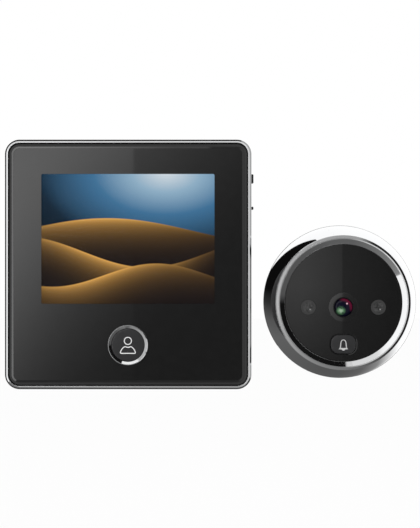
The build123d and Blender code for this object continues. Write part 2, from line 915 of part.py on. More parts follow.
def reset_button():
    inside = side_switch_right + pin_travel + switch_end_gap
    outside = monitor_width / 2 + pin_proud
    pin = disc(pin_radius, inside, outside)
    pin = fillet(pin.edges().group_by(Axis.Z)[-1], pin_radius / 2)
    pin += disc(pin_flange_radius, inside, inside + pin_flange)
    return Pos(0, pin_above_centre, side_axis) * Rot(0, 90, 0) * pin


# Door bracket, drawn about the middle of its screw pattern


def hook_spots():
    """Where each hook's sheet stands across the bracket, and the height of its stem's upper edge."""
    across = bracket_width / 2 - bracket_sheet / 2
    heads = (hook_stem / 2 - hook_from_middle, hook_stem / 2 + hook_from_middle)
    return [(x, head) for x in (-across, across) for head in heads]


def cable_holes(gap, low, high):
    """The cable's slot and the two clamp screws' holes."""
    slot = SlotOverall(cable_slot_length + 2 * gap, cable_slot_width + 2 * gap, rotation=90)
    holes = plate(slot, low, high)
    for x in (-clamp_spacing / 2, clamp_spacing / 2):
        holes += Pos(x, 0, 0) * disc(clamp_hole_radius + gap, low, high)
    return holes


def wall_bracket():
    outline = RectangleRounded(bracket_width, bracket_height, bracket_corner)
    bracket = plate(outline, pad_thickness, bracket_front)
    bracket -= cable_holes(0, pad_thickness - overrun, bracket_front + overrun)
    tip_back = recess_wall_front + recess_gap
    tip_front = tip_back + hook_tip_depth
    for x, head in hook_spots():
        left = x - bracket_sheet / 2
        right = x + bracket_sheet / 2
        bracket += span_block(left, right, head - hook_stem, head, pad_thickness, tip_front)
        bracket += span_block(left, right, head - hook_stem, head + hook_tip, tip_back, tip_front)
    return bracket


def bracket_foam_pad():
    outline = RectangleRounded(bracket_width - 2 * pad_inset, bracket_height - 2 * pad_inset,
                               max(bracket_corner - pad_inset, least_corner))
    return plate(outline, 0, pad_thickness) - cable_holes(pad_hole_gap, -overrun, pad_thickness + overrun)


# Outdoor camera, drawn about its own centre


def shell_curve(inset):
    """The skirt's bulging slope, from the base's edge to the bezel."""
    start = (outdoor_base_radius - inset, cover_back + outdoor_shell_edge)
    end = (outdoor_top_radius - inset, shell_front)
    run = end[0] - start[0]
    rise = end[1] - start[1]
    slope = math.hypot(run, rise)
    middle = ((start[0] + end[0]) / 2 + outdoor_shell_bulge * rise / slope,
              (start[1] + end[1]) / 2 - outdoor_shell_bulge * run / slope)
    return start, middle, end


def outer_shell():
    start, middle, end = shell_curve(0)
    inner_start, inner_middle, inner_end = shell_curve(outdoor_shell_wall)
    profile = Line((start[0], cover_back), start)
    profile += ThreePointArc(start, middle, end)
    profile += Line(end, inner_end)
    profile += ThreePointArc(inner_end, inner_middle, inner_start)
    profile += Line(inner_start, (inner_start[0], cover_back))
    profile += Line((inner_start[0], cover_back), (start[0], cover_back))
    return turned(profile)


def front_bezel():
    """A ring with a thin rounded lip, a slope down to the face, and a spigot inside the skirt."""
    lip_inner = bezel_radius - bezel_lip_width
    face_bore = face_radius + glue_gap
    ledge_bore = face_radius - bezel_ledge_width
    spigot_radius = outdoor_top_radius - outdoor_shell_wall - glue_gap
    spigot_bore = housing_radius + seam_gap
    spigot_back = bezel_back - bezel_spigot
    profile = Polyline((bezel_radius, bezel_back), (bezel_radius, outdoor_depth),
                       (lip_inner, outdoor_depth), (face_bore, face_front),
                       (face_bore, ledge_front), (ledge_bore, ledge_front),
                       (ledge_bore, ledge_back), (spigot_bore, ledge_back),
                       (spigot_bore, spigot_back), (spigot_radius, spigot_back),
                       (spigot_radius, bezel_back), close=True)
    bezel = turned(profile)
    rim = bezel.edges().group_by(Axis.Z)[-1]
    return fillet(rim, min(bezel_lip_edge, bezel_lip_width / 2 - glue_gap))


def bell_outline(gap):
    return RectangleRounded(bell_width + 2 * gap, bell_height + 2 * gap, bell_corner + gap)


def face_window():
    face = disc(face_radius, face_back, face_front)
    face = fillet(face.edges().group_by(Axis.Z)[-1], face_edge)
    low = face_back - overrun
    high = face_front + overrun
    face -= lens_spot * disc(surround_radius + glue_gap, low, high)
    for x in (-infrared_from_lens, infrared_from_lens):
        face -= lens_spot * Pos(x, 0, 0) * disc(infrared_window_radius + glue_gap, low, high)
    return face - bell_spot * plate(bell_outline(bell_side_gap), low, high)


def lens_surround():
    """A pale ring that dishes down to the lens barrel, flanged behind the face."""
    bore = barrel_radius + moving_gap
    front = face_front + surround_proud
    flange_front = face_back - glue_gap
    flange_back = flange_front - surround_flange
    flange_radius = surround_radius + surround_flange_reach
    profile = Polyline((bore, flange_back), (flange_radius, flange_back), (flange_radius, flange_front),
                       (surround_radius, flange_front), (surround_radius, front),
                       (bore, front - surround_dish), close=True)
    return lens_spot * turned(profile)


def lens_barrel():
    barrel = disc(barrel_radius, barrel_back, barrel_front)
    barrel = fillet(barrel.edges().group_by(Axis.Z)[-1], min(barrel_edge, barrel_wall / 2))
    bore = barrel_radius - barrel_wall
    barrel -= disc(bore, stop_front, barrel_front + overrun)
    barrel -= disc(bore, barrel_back - overrun, stop_back)
    return lens_spot * (barrel - disc(bore - barrel_stop_width, barrel_back, barrel_front))


def front_lens():
    return lens_spot * dome(lens_radius, front_lens_rim, front_lens_dome, stop_front + glue_gap)


def lens_element():
    """The lens behind the stop, bulging backwards."""
    lens = dome(lens_radius, inner_lens_rim, inner_lens_dome, 0)
    return lens_spot * Pos(0, 0, stop_back - glue_gap) * Rot(180, 0, 0) * lens


def lens_holder():
    base_front = on_camera_board + holder_base
    holder = block(holder_side, holder_side, on_camera_board, base_front)
    holder += disc(barrel_radius + glue_gap + holder_tube_wall, base_front, on_camera_board + holder_height)
    bore_front = on_camera_board + holder_height + overrun
    holder -= disc(barrel_radius + glue_gap, on_camera_board - overrun, bore_front)
    cavity = block(holder_cavity_side, holder_cavity_side, on_camera_board - overrun,
                   on_camera_board + holder_cavity)
    return lens_spot * (holder - cavity)


def image_sensor():
    return lens_spot * block(sensor_side, sensor_side, on_camera_board, on_camera_board + sensor_height)


def infrared_windows():
    window = disc(infrared_window_radius, face_back, face_front)
    return [lens_spot * Pos(x, 0, 0) * window for x in (-infrared_from_lens, infrared_from_lens)]


def infrared_leds():
    """A domed lamp under each infrared window."""
    top = face_back - infrared_window_gap
    shoulder = top - infrared_lamp_radius
    lamp = dome(infrared_lamp_radius, shoulder - on_camera_board, infrared_lamp_radius, on_camera_board)
    rim_radius = infrared_lamp_radius + infrared_lamp_rim_reach
    lamp += disc(rim_radius, on_camera_board, on_camera_board + infrared_lamp_rim)
    return [lens_spot * Pos(x, 0, 0) * lamp for x in (-infrared_from_lens, infrared_from_lens)]


def boss_places():
    """Three places round the housing, where the cover's screws go."""
    places = []
    for angle in housing_boss_angles:
        turn = math.radians(angle)
        places.append(Pos(housing_boss_circle * math.cos(turn), housing_boss_circle * math.sin(turn), 0))
    return places


def camera_board():
    board = disc(camera_board_radius, camera_board_back, camera_board_front)
    notch = disc(housing_boss_radius + camera_board_notch_gap, camera_board_back - overrun,
                 camera_board_front + overrun)
    for place in boss_places():
        board -= place * notch
    return board


def camera_board_chips():
    chip_back = camera_board_back - camera_chip_height
    chip = block(camera_chip_side, camera_chip_side, chip_back, camera_board_back)
    return [Pos(x, 0, 0) * chip for x in (-camera_chip_from_middle, camera_chip_from_middle)]


def cable_socket():
    """The socket on the back of the camera board that faces down the barrel."""
    low = cover_front + seam_gap
    body = block(socket_width, socket_length, low, camera_board_back)
    mouth = block(socket_width - 2 * socket_wall, socket_length - 2 * socket_wall,
                  low - overrun, camera_board_back - socket_wall)
    return body - mouth


def bell_switch():
    plunger_back = bell_switch_front - switch_plunger
    body = block(switch_side, switch_side, on_camera_board, plunger_back)
    return bell_spot * (body + disc(switch_plunger_radius, plunger_back, bell_switch_front))


def bell_button():
    front = face_front + bell_proud
    cap = plate(bell_outline(0), bell_flange_front, front)
    cap = fillet(cap.edges().group_by(Axis.Z)[-1], bell_edge)
    cap += plate(bell_outline(bell_flange_reach), bell_flange_back, bell_flange_front)
    cap += disc(bell_stem_radius, bell_stem_back, bell_flange_back)
    return bell_spot * cap - bell_button_icon()


def bell_shape(inset):
    """A bell's body: a round crown, sides that flare, and a flat mouth, drawn that far inside its edge."""
    half_mouth = bell_icon_width / 2 - inset
    half_crown = bell_icon_width / 2 * bell_icon_waist_share - inset
    foot = bell_icon_brim
    head = bell_icon_height - bell_icon_knob_radius - inset
    shoulder = head - half_crown
    waist = (half_crown, foot + (shoulder - foot) / 2)
    side = Spline((half_mouth, foot), waist, (half_crown, shoulder), tangents=((-1, 1), (0, 1)))
    other = mirror(side, Plane.YZ)
    crown = ThreePointArc((half_crown, shoulder), (0, head), (-half_crown, shoulder))
    mouth = Line((-half_mouth, foot), (half_mouth, foot))
    return make_face(side + crown + other + mouth)


def bell_button_icon():
    """An outlined bell with a filled brim and a clapper, set in the cap."""
    front = face_front + bell_proud
    middle = bell_icon_height / 2
    shape = bell_shape(0) - bell_shape(bell_icon_stroke)
    brim_height = bell_icon_brim - bell_icon_clapper_radius / 2
    brim_foot = bell_icon_brim - brim_height
    shape += Pos(0, brim_foot + brim_height / 2) * Rectangle(bell_icon_width, brim_height)
    shape += Pos(0, brim_foot) * Circle(bell_icon_clapper_radius)
    shape += Pos(0, bell_icon_height - bell_icon_knob_radius) * Circle(bell_icon_knob_radius)
    return bell_spot * Pos(0, -middle, 0) * plate(shape, front - icon_depth, front)


def inner_housing():
    """The black cup behind the face: a ledge for the camera board and three screw bosses."""
    cup = tube(housing_radius, housing_radius - housing_wall, housing_back, housing_front)
    ledge_outer = housing_radius - housing_wall / 2
    ledge_inner = housing_radius - housing_wall - housing_ledge_width
    ledge_high = camera_board_back - glue_gap
    cup += tube(ledge_outer, ledge_inner, ledge_high - housing_ledge, ledge_high)
    boss_high = housing_back + housing_boss_height
    boss = disc(housing_boss_radius, housing_back, boss_high)
    pilot = disc(cover_screw_radius + glue_gap, housing_back - overrun, boss_high - housing_wall)
    for place in boss_places():
        cup += place * boss
    for place in boss_places():
        cup -= place * pilot
    return cup


def rear_cover():
    """The back plate and the barrel that goes into the door."""
    radius = outdoor_base_radius - outdoor_shell_wall - seam_gap
    cover = disc(radius, cover_back, cover_front)
    stem = disc(door_barrel_radius, -door_barrel_length, cover_back)
    cover += fillet(stem.edges().group_by(Axis.Z)[0], door_barrel_edge)
    slot = SlotOverall(cable_slot_length, cable_slot_width, rotation=90)
    cover -= plate(slot, -door_barrel_length - overrun, cover_front + overrun)
    pocket = disc(insert_radius + glue_gap, -door_barrel_length - overrun, insert_length - door_barrel_length)
    for x in (-clamp_spacing / 2, clamp_spacing / 2):
        cover -= Pos(x, 0, 0) * pocket
    seat = cover_back + cover_screw_sunk + cover_screw_head
    hole = disc(cover_screw_radius + screw_clearance, cover_back - overrun, cover_front + overrun)
    hole += disc(cover_screw_head_radius + screw_clearance, cover_back - overrun, seat)
    for place in boss_places():
        cover -= place * hole
    return cover


def threaded_inserts():
    sleeve = tube(insert_radius, insert_bore_radius, -door_barrel_length,
                  insert_length - door_barrel_length - glue_gap)
    return [Pos(x, 0, 0) * sleeve for x in (-clamp_spacing / 2, clamp_spacing / 2)]


def cover_screws():
    seat = cover_back + cover_screw_sunk + cover_screw_head
    piece = screw(cover_screw_radius, cover_screw_length, cover_screw_head_radius, cover_screw_head)
    return [place * Pos(0, 0, seat) * piece for place in boss_places()]


def door_gasket():
    return tube(outdoor_base_radius - gasket_inset, gasket_inner_radius, 0, gasket_thickness)


# Each node, by the unit that it belongs to
monitor_pieces = [
    chrome_frame, front_panel, screen_window, lcd_glass, lcd_backlight, lcd_ribbon, front_case, rear_case,
    case_screws, main_board, board_chips, board_screws, camera_socket, batteries, battery_contacts_positive,
    battery_contacts_negative, speaker, button_board, view_switch, power_switch_body, reset_switch_body,
    battery_door, view_button_ring, view_button, view_button_icon, power_slider, reset_button,
]
bracket_pieces = [wall_bracket, bracket_foam_pad]
outdoor_pieces = [
    outer_shell, front_bezel, face_window, lens_surround, lens_barrel, front_lens, lens_element, lens_holder,
    image_sensor, infrared_windows, infrared_leds, camera_board, camera_board_chips, cable_socket,
    bell_switch, bell_button, bell_button_icon, inner_housing, rear_cover, threaded_inserts, cover_screws,
    door_gasket,
]


def write_nodes(pieces, place):
    """Stand each piece upright in its place, and write it under its own name."""
    for piece in pieces:
        made = piece()
        solids = made if isinstance(made, list) else made.solids()
        moved = [upright * place * solid for solid in solids]
        shape = moved[0] if len(moved) == 1 else Compound(moved)
        export_step(shape, f"parts/{piece.__name__}.step")


os.makedirs("parts", exist_ok=True)
write_nodes(monitor_pieces, from_bracket)
write_nodes(bracket_pieces, Pos(0, 0, 0))
write_nodes(outdoor_pieces, outdoor_place)
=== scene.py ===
import math

import bmesh
import bpy
from mathutils import Matrix, Vector


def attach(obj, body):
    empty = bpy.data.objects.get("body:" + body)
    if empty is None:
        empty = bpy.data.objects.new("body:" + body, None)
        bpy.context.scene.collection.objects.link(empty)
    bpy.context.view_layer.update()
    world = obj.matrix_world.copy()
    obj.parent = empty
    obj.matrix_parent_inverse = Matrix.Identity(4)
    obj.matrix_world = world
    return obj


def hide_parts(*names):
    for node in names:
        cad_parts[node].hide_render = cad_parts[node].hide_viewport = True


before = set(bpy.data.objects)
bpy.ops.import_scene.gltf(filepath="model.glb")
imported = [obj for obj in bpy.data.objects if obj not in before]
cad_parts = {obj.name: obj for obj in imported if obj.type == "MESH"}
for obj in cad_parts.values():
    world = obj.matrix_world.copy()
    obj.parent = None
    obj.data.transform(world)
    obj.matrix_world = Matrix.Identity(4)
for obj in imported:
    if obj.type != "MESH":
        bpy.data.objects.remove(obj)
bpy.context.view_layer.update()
print("frame loaded:", len(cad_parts), "nodes")

# Pieces are drawn face up in millimetres, as the CAD does it: x right, y up the door, z out of the door.
# place() then stands them upright, in metres.
mm = 0.001
monitorCentre = (0.0, -14.95)
outdoorCentre = (76.5, -28.65)
lensDrop = 1.6
lensSpot = (outdoorCentre[0], outdoorCentre[1] - lensDrop)


def place(centre, x, y, z):
    return Vector(((centre[0] + x) * mm, -z * mm, (centre[1] + y) * mm))


def addObject(name, data):
    made = bpy.data.objects.new(name, data)
    bpy.context.scene.collection.objects.link(made)
    return made


def bakedMesh(made):
    # The object's mesh with its modifiers applied, in place of the object
    seen = made.evaluated_get(bpy.context.evaluated_depsgraph_get())
    mesh = bpy.data.meshes.new_from_object(seen)
    bpy.data.objects.remove(made)
    return mesh


# Node maths: a Wire is one socket, and sums on wires add their nodes
class Wire:
    def __init__(self, graph, socket):
        self.graph = graph
        self.socket = socket

    def maths(self, operation, *values):
        return self.graph.node("ShaderNodeMath", {"operation": operation}, dict(enumerate(values)))

    def __add__(self, other):
        return self.maths("ADD", self, other)

    def __radd__(self, other):
        return self.maths("ADD", other, self)

    def __sub__(self, other):
        return self.maths("SUBTRACT", self, other)

    def __rsub__(self, other):
        return self.maths("SUBTRACT", other, self)

    def __mul__(self, other):
        return self.maths("MULTIPLY", self, other)

    def __rmul__(self, other):
        return self.maths("MULTIPLY", other, self)

    def __truediv__(self, other):
        return self.maths("DIVIDE", self, other)

    def __pow__(self, other):
        return self.maths("POWER", self, other)

    def clamp(self):
        return self.graph.node("ShaderNodeClamp", {}, {0: self})

    def sine(self):
        return self.maths("SINE", self)

    def absolute(self):
        return self.maths("ABSOLUTE", self)

    def exponent(self):
        return self.maths("EXPONENT", self)

    def arcCosine(self):
        return self.maths("ARCCOSINE", self)

    def ramp(self, low, high):
        sockets = {"Value": self, "From Min": low, "From Max": high}
        return self.graph.node("ShaderNodeMapRange", {"interpolation_type": "SMOOTHSTEP"}, sockets)

    def above(self, edge, blur):
        return self.ramp(edge - blur, edge + blur)


class Graph:
    def __init__(self, tree):
        self.tree = tree

    def node(self, kind, settings, sockets, output=0):
        made = self.tree.nodes.new(kind)
        for name, value in settings.items():
            if name == "stops":
                self.setStops(made.color_ramp, value)
            else:
                setattr(made, name, value)
        for name, value in sockets.items():
            if isinstance(value, Wire):
                self.tree.links.new(value.socket, made.inputs[name])
            else:
                made.inputs[name].default_value = value
        return Wire(self, made.outputs[output])

    def setStops(self, ramp, stops):
        while len(ramp.elements) < len(stops):
            ramp.elements.new(1.0)
        while len(ramp.elements) > len(stops):
            ramp.elements.remove(ramp.elements[-1])
        for element, (position, colour) in zip(ramp.elements, stops):
            element.position = position
            element.color = colour

    def axes(self, vector):
        split = self.node("ShaderNodeSeparateXYZ", {}, {0: vector})
        outputs = split.socket.node.outputs
        return [Wire(self, outputs[number]) for number in range(3)]


class Finish(Graph):
    def __init__(self, name, fixed):
        self.material = bpy.data.materials.new(name)
        self.material.use_nodes = True
        super().__init__(self.material.node_tree)
        self.shader = self.tree.nodes["Principled BSDF"]
        for socket, value in fixed.items():
            self.shader.inputs[socket].default_value = value

    def feed(self, **wires):
        for name, wire in wires.items():
            socket = {"colour": "Base Color", "roughness": "Roughness", "glow": "Emission Color"}[name]
            self.tree.links.new(wire.socket, self.shader.inputs[socket])

    def coordinates(self):
        return self.node("ShaderNodeTexCoord", {}, {}, "Object")

    def noise(self, scale, detail=3.0, roughness=0.55):
        sockets = {"Vector": self.coordinates(), "Scale": scale, "Detail": detail, "Roughness": roughness}
        return self.node("ShaderNodeTexNoise", {}, sockets)

    def mix(self, share, first, second):
        return self.node("ShaderNodeMix", {"data_type": "RGBA"}, {0: share, 6: first, 7: second}, 2)

    def bump(self, height, strength, distance):
        sockets = {"Strength": strength, "Distance": distance, "Height": height}
        bumped = self.node("ShaderNodeBump", {}, sockets)
        self.tree.links.new(bumped.socket, self.shader.inputs["Normal"])


# A Geometry Nodes tree with named inputs
class GrowthGraph(Graph):
    def __init__(self, name, inputs):
        super().__init__(bpy.data.node_groups.new(name, "GeometryNodeTree"))
        kinds = {"number": "NodeSocketFloat", "count": "NodeSocketInt", "object": "NodeSocketObject",
                 "material": "NodeSocketMaterial", "offset": "NodeSocketVector"}
        self.identifiers = {}
        for label, kind in inputs.items():
            socket = self.tree.interface.new_socket(label, in_out="INPUT", socket_type=kinds[kind])
            self.identifiers[label] = socket.identifier
        self.tree.interface.new_socket("Geometry", in_out="OUTPUT", socket_type="NodeSocketGeometry")
        group = self.tree.nodes.new("NodeGroupInput")
        self.given = {label: Wire(self, group.outputs[label]) for label in inputs}

    def end(self, shape):
        given = self.given
        upright = self.node("GeometryNodeTransform", {}, {"Geometry": shape, "Rotation": (math.pi / 2, 0, 0)})
        moved = self.node("GeometryNodeTransform", {}, {"Geometry": upright, "Translation": given["Place"]})
        real = self.node("GeometryNodeRealizeInstances", {}, {"Geometry": moved})
        last = self.node("GeometryNodeSetMaterial", {}, {"Geometry": real, "Material": given["Material"]})
        output = self.tree.nodes.new("NodeGroupOutput")
        self.tree.links.new(last.socket, output.inputs["Geometry"])

    def mesh(self, name, values):
        seed = addObject(name, bpy.data.meshes.new(name))
        modifier = seed.modifiers.new("growth", "NODES")
        modifier.node_group = self.tree
        for label, value in values.items():
            modifier[self.identifiers[label]] = value
        return bakedMesh(seed)


def rgb(red, green, blue):
    return (red, green, blue, 1.0)


def grey(level):
    return rgb(level, level, level)


# Each finish: its lighter and darker colour, its roughness and, where it has a grain, its cells per metre
finishes = {
    "chrome": {"light": rgb(0.88, 0.885, 0.89), "dark": rgb(0.82, 0.825, 0.835), "rough": 0.015},
    "glossBlack": {"light": grey(0.0125), "dark": grey(0.0085), "rough": 0.03},
    "faceBlack": {"light": grey(0.0115), "dark": grey(0.0085), "rough": 0.015},
    "buttonGrey": {"light": rgb(0.030, 0.030, 0.031), "dark": rgb(0.022, 0.022, 0.023), "rough": 0.16},
    "lensGlass": {"light": rgb(0.02, 0.012, 0.03), "dark": rgb(0.004, 0.01, 0.006), "rough": 0.03},
    "surroundPale": {"light": grey(0.0025), "dark": grey(0.0015), "rough": 0.02},
    "caseBlack": {"light": rgb(0.024, 0.024, 0.025), "dark": rgb(0.015, 0.015, 0.016), "rough": 0.52,
                  "grain": 2600},
    "barrelBlack": {"light": grey(0.004), "dark": grey(0.002), "rough": 0.35, "grain": 2600},
    "board": {"light": rgb(0.025, 0.16, 0.08), "dark": rgb(0.015, 0.11, 0.05), "rough": 0.35, "grain": 900},
    "zincSteel": {"light": rgb(0.62, 0.62, 0.60), "dark": rgb(0.42, 0.43, 0.43), "rough": 0.34, "grain": 420},
    "foam": {"light": grey(0.045), "dark": grey(0.018), "rough": 0.85, "grain": 1500},
}


def makeChrome(name, light, dark, rough):
    finish = Finish(name, {"Metallic": 1.0})
    cloud = finish.noise(60.0)
    streak = finish.noise(900.0, 2.0)
    finish.feed(colour=finish.mix(cloud, light, dark),
                roughness=rough + 0.05 * cloud * cloud + 0.02 * streak)
    finish.bump(streak, 0.02, 0.00002)
    return finish.material


def makeGloss(name, light, dark, rough):
    finish = Finish(name, {"IOR": 1.5})
    cloud = finish.noise(45.0, 4.0)
    wiped = finish.noise(420.0, 5.0)
    finish.feed(colour=finish.mix(wiped, dark, light),
                roughness=rough + 0.05 * cloud.ramp(0.5, 0.75) * wiped)
    finish.bump(cloud, 0.02, 0.00003)
    return finish.material


def makeSurround(name, light, dark, rough):
    # Smoked lacquer: dark by itself, and a stronger mirror of the soft lamp than the face round it
    finish = Finish(name, {"IOR": 2.1})
    fine = finish.noise(2400.0, 3.0)
    finish.feed(colour=finish.mix(fine, dark, light), roughness=rough + 0.02 * fine)
    finish.bump(fine, 0.03, 0.00002)
    return finish.material


def makeMoulded(name, light, dark, rough, grain):
    finish = Finish(name, {"IOR": 1.46})
    spark = finish.noise(grain, 3.0, 0.6)
    cloud = finish.noise(70.0)
    finish.feed(colour=finish.mix(cloud, dark, light), roughness=rough + 0.14 * spark - 0.05 * cloud)
    finish.bump(spark, 0.35, 0.00005)
    return finish.material


def cells(finish, grain):
    sockets = {"Vector": finish.coordinates(), "Scale": grain}
    return finish.node("ShaderNodeTexVoronoi", {}, sockets, "Distance")


def makeSteel(name, light, dark, rough, grain):
    finish = Finish(name, {"Metallic": 1.0})
    spangle = cells(finish, grain)
    fine = finish.noise(1800.0, 3.0)
    finish.feed(colour=finish.mix(spangle * 1.2, light, dark), roughness=rough + 0.16 * spangle + 0.08 * fine)
    finish.bump(fine, 0.12, 0.00003)
    return finish.material


def makeFoam(name, light, dark, rough, grain):
    finish = Finish(name, {})
    cell = cells(finish, grain)
    finish.feed(colour=finish.mix(cell, dark, light), roughness=rough + 0.1 * cell)
    finish.bump(cell, 0.6, 0.0001)
    return finish.material


# The screen's own picture: soft hills in amber light under a pale blue haze
# Each hill has its height, how far its waves swing, how close they are and where they start
picture = {
    "left": -30.48, "foot": -13.86, "width": 60.96, "height": 45.72,
    "hazeX": 0.72, "hazeY": 1.02, "lightX": 0.34,
    "amber": rgb(0.80, 0.42, 0.10), "shade": rgb(0.007, 0.006, 0.007),
    "sky": [(0.0, rgb(0.66, 0.72, 0.76)), (0.2, rgb(0.27, 0.42, 0.55)), (0.42, rgb(0.05, 0.16, 0.30)),
            (0.75, rgb(0.006, 0.018, 0.035)), (1.0, rgb(0.004, 0.008, 0.012))],
    "hills": [(0.56, 0.10, 3.1, 0.4), (0.40, 0.12, 4.3, 2.1), (0.22, 0.09, 5.2, 4.4)],
}


def makePicture(name):
    finish = Finish(name, {"Roughness": 0.4, "Base Color": rgb(0.004, 0.004, 0.005), "Emission Strength": 1.0,
                           "Specular IOR Level": 0.0})
    x, _, z = finish.axes(finish.coordinates())
    across = (x / mm - picture["left"]) / picture["width"]
    up = (z / mm - monitorCentre[1] - picture["foot"]) / picture["height"]
    haze = ((across - picture["hazeX"]) ** 2 + (up - picture["hazeY"]) ** 2 * 1.6) ** 0.5
    shown = finish.node("ShaderNodeValToRGB", {"stops": picture["sky"]}, {0: haze})
    for level, swing, turns, start in picture["hills"]:
        ridge = level + swing * (across * turns + start).sine()
        below = ridge - up
        glow = ((below * -13.0).exponent() * 0.62 + (below * -70.0).exponent() * 0.4).clamp()
        lit = glow * ((across - picture["lightX"]) ** 2 * -5.5).exponent()
        slope = finish.mix(lit, picture["shade"], picture["amber"])
        shown = finish.mix(below.ramp(-0.004, 0.004), shown, slope)
    finish.feed(glow=shown)
    return finish.material


# Plain finishes: colour, roughness, metal or not, and how much darker the colour's patches get
plainFinishes = {
    "iconPale": (grey(0.72), 0.4, 0.0, 0.08),
    "bellPale": (grey(0.48), 0.4, 0.0, 0.08),
    "socketWhite": (rgb(0.78, 0.77, 0.72), 0.45, 0.0, 0.1),
    "tin": (grey(0.66), 0.28, 1.0, 0.25),
    "brass": (rgb(0.80, 0.58, 0.25), 0.26, 1.0, 0.25),
    "film": (rgb(0.55, 0.30, 0.06), 0.35, 0.0, 0.25),
    "sleeve": (rgb(0.12, 0.26, 0.18), 0.3, 0.0, 0.25),
}


def makePlain(name, colour, rough, metallic, change):
    finish = Finish(name, {"Metallic": metallic})
    cloud = finish.noise(600.0, 3.0)
    dark = rgb(*[part * (1.0 - change) for part in colour[:3]])
    finish.feed(colour=finish.mix(cloud, dark, colour), roughness=rough + 0.1 * cloud)
    finish.bump(cloud, 0.08, 0.00003)
    return finish.material


def makeClear(name):
    finish = Finish(name, {"Transmission Weight": 1.0, "IOR": 1.06})
    finish.feed(colour=finish.mix(finish.noise(300.0), grey(0.98), grey(1.0)),
                roughness=0.01 + 0.02 * finish.noise(50.0))
    return finish.material


# The two infrared windows, how the lamp behind shows through each and where a painted highlight lies on each,
# in millimetres from its middle
lampLook = {"apart": 25.0, "inner": 1.95, "lampGlintX": 0.63, "lampGlintZ": -0.8, "spot": 0.42,
            "shade": 0.043, "speckled": 0.046, "disc": 0.02, "rim": 0.006, "middle": 0.008}


def lampAxes(finish):
    # Both lamps on one set of axes, and the distance from a lamp's middle
    x, _, z = finish.axes(finish.coordinates())
    side = x / mm - lensSpot[0]
    across = side + lampLook["apart"] * (0.5 - side.above(0.0, 0.01))
    up = z / mm - lensSpot[1]
    return across, up, (across ** 2 + up ** 2) ** 0.5


def makeSmoky(name):
    # Smoked plate: a speckled disc with a faint rim, and a spot of light below right
    look = lampLook
    finish = Finish(name, {"IOR": 1.2})
    across, up, reach = lampAxes(finish)
    speckle = finish.noise(1700.0, 4.0).ramp(0.35, 0.65)
    swirl = finish.noise(650.0, 3.0).ramp(0.3, 0.7)
    disc = 1.0 - reach.ramp(look["inner"] - 0.12, look["inner"] + 0.05)
    rim = 1.0 - (reach - look["inner"]).absolute().ramp(0.0, 0.16)
    middle = 1.0 - reach.ramp(0.5, 1.3)
    # The painted highlight: a pale spot painted into the base colour below right of each lamp's middle
    lampGlintReach = ((across - look["lampGlintX"]) ** 2 + (up - look["lampGlintZ"]) ** 2) ** 0.5
    spot = 1.0 - lampGlintReach.ramp(0.05, look["spot"])
    shade = look["shade"] + disc * (look["speckled"] * speckle - look["disc"])
    shade = shade - look["rim"] * rim - look["middle"] * middle * (1.0 - swirl)
    finish.feed(colour=finish.mix((shade + 0.25 * spot * spot).clamp(), grey(0.0), grey(1.0)),
                roughness=0.08 + 0.08 * speckle)
    finish.bump(speckle, 0.04, 0.00002)
    return finish.material


def makeLampGlass(name):
    # A clear dome over a pale speckled emitter
    finish = Finish(name, {"IOR": 1.5})
    _, _, reach = lampAxes(finish)
    cloud = finish.noise(1300.0, 4.0)
    disc = 1.0 - reach.ramp(0.6, 1.2)
    finish.feed(colour=finish.mix(disc * cloud, grey(0.05), grey(0.5)), roughness=0.1 + 0.2 * cloud)
    finish.bump(cloud, 0.06, 0.00005)
    return finish.material


# The lens's deep colour and its painted reflections: studio lights mirrored in the coated glass, painted into
# the base colour, and where they lie in shares of the front lens's radius
lensColours = {"deep": rgb(0.004, 0.004, 0.012), "paintedMagenta": rgb(0.20, 0.012, 0.045),
               "green": rgb(0.06, 0.15, 0.07), "pale": rgb(0.27, 0.38, 0.27), "paintedGlint": rgb(0.75, 0.45, 0.52),
               "leanX": 0.72, "leanY": 0.69, "patchX": -0.30, "patchY": -0.36, "patchWide": 2.6,
               "patchHigh": 3.2, "paintedGlintX": 0.37, "paintedGlintY": 0.40}
lensSizes = {"radius": 3.33, "back": 13.25, "rim": 14.0, "rise": 0.85}


def makeLensWithPaintedReflections(name):
    # Painted reflections in the base colour: a magenta crescent above right, a green patch with a pale middle
    # below left, and a painted glint above right
    look = lensColours
    finish = Finish(name, {"IOR": 1.18})
    x, _, z = finish.axes(finish.coordinates())
    across = (x / mm - lensSpot[0]) / lensSizes["radius"]
    up = (z / mm - lensSpot[1]) / lensSizes["radius"]
    patchy = finish.noise(1100.0, 3.0)
    reach = (across ** 2 + up ** 2) ** 0.5
    toward = across * look["leanX"] + up * look["leanY"]
    # The painted magenta reflection: a crescent near the rim above right
    paintedCrescent = toward.ramp(0.15, 0.6) * reach.ramp(0.52, 0.9) * (1.0 - reach.ramp(0.9, 0.99))
    patch = ((across - look["patchX"]) ** 2 * look["patchWide"]
             + (up - look["patchY"]) ** 2 * look["patchHigh"]) ** 0.5
    # The painted green reflection below left, with a paler painted middle
    green = (1.0 - patch.ramp(0.45, 1.0)) * patchy.ramp(0.3, 0.5)
    pale = (1.0 - patch.ramp(0.1, 0.6)) * patchy.ramp(0.3, 0.48)
    # The painted glint: a small pale highlight above right, painted into the base colour
    paintedGlint = 1.0 - (((across - look["paintedGlintX"]) ** 2 + (up - look["paintedGlintY"]) ** 2) ** 0.5).ramp(0.03, 0.13)
    colour = finish.mix(paintedCrescent * (0.45 + 0.55 * patchy), look["deep"], look["paintedMagenta"])
    colour = finish.mix(green, colour, look["green"])
    colour = finish.mix(pale, colour, look["pale"])
    finish.feed(colour=finish.mix(paintedGlint, colour, look["paintedGlint"]), roughness=0.04 + 0.04 * patchy)
    return finish.material


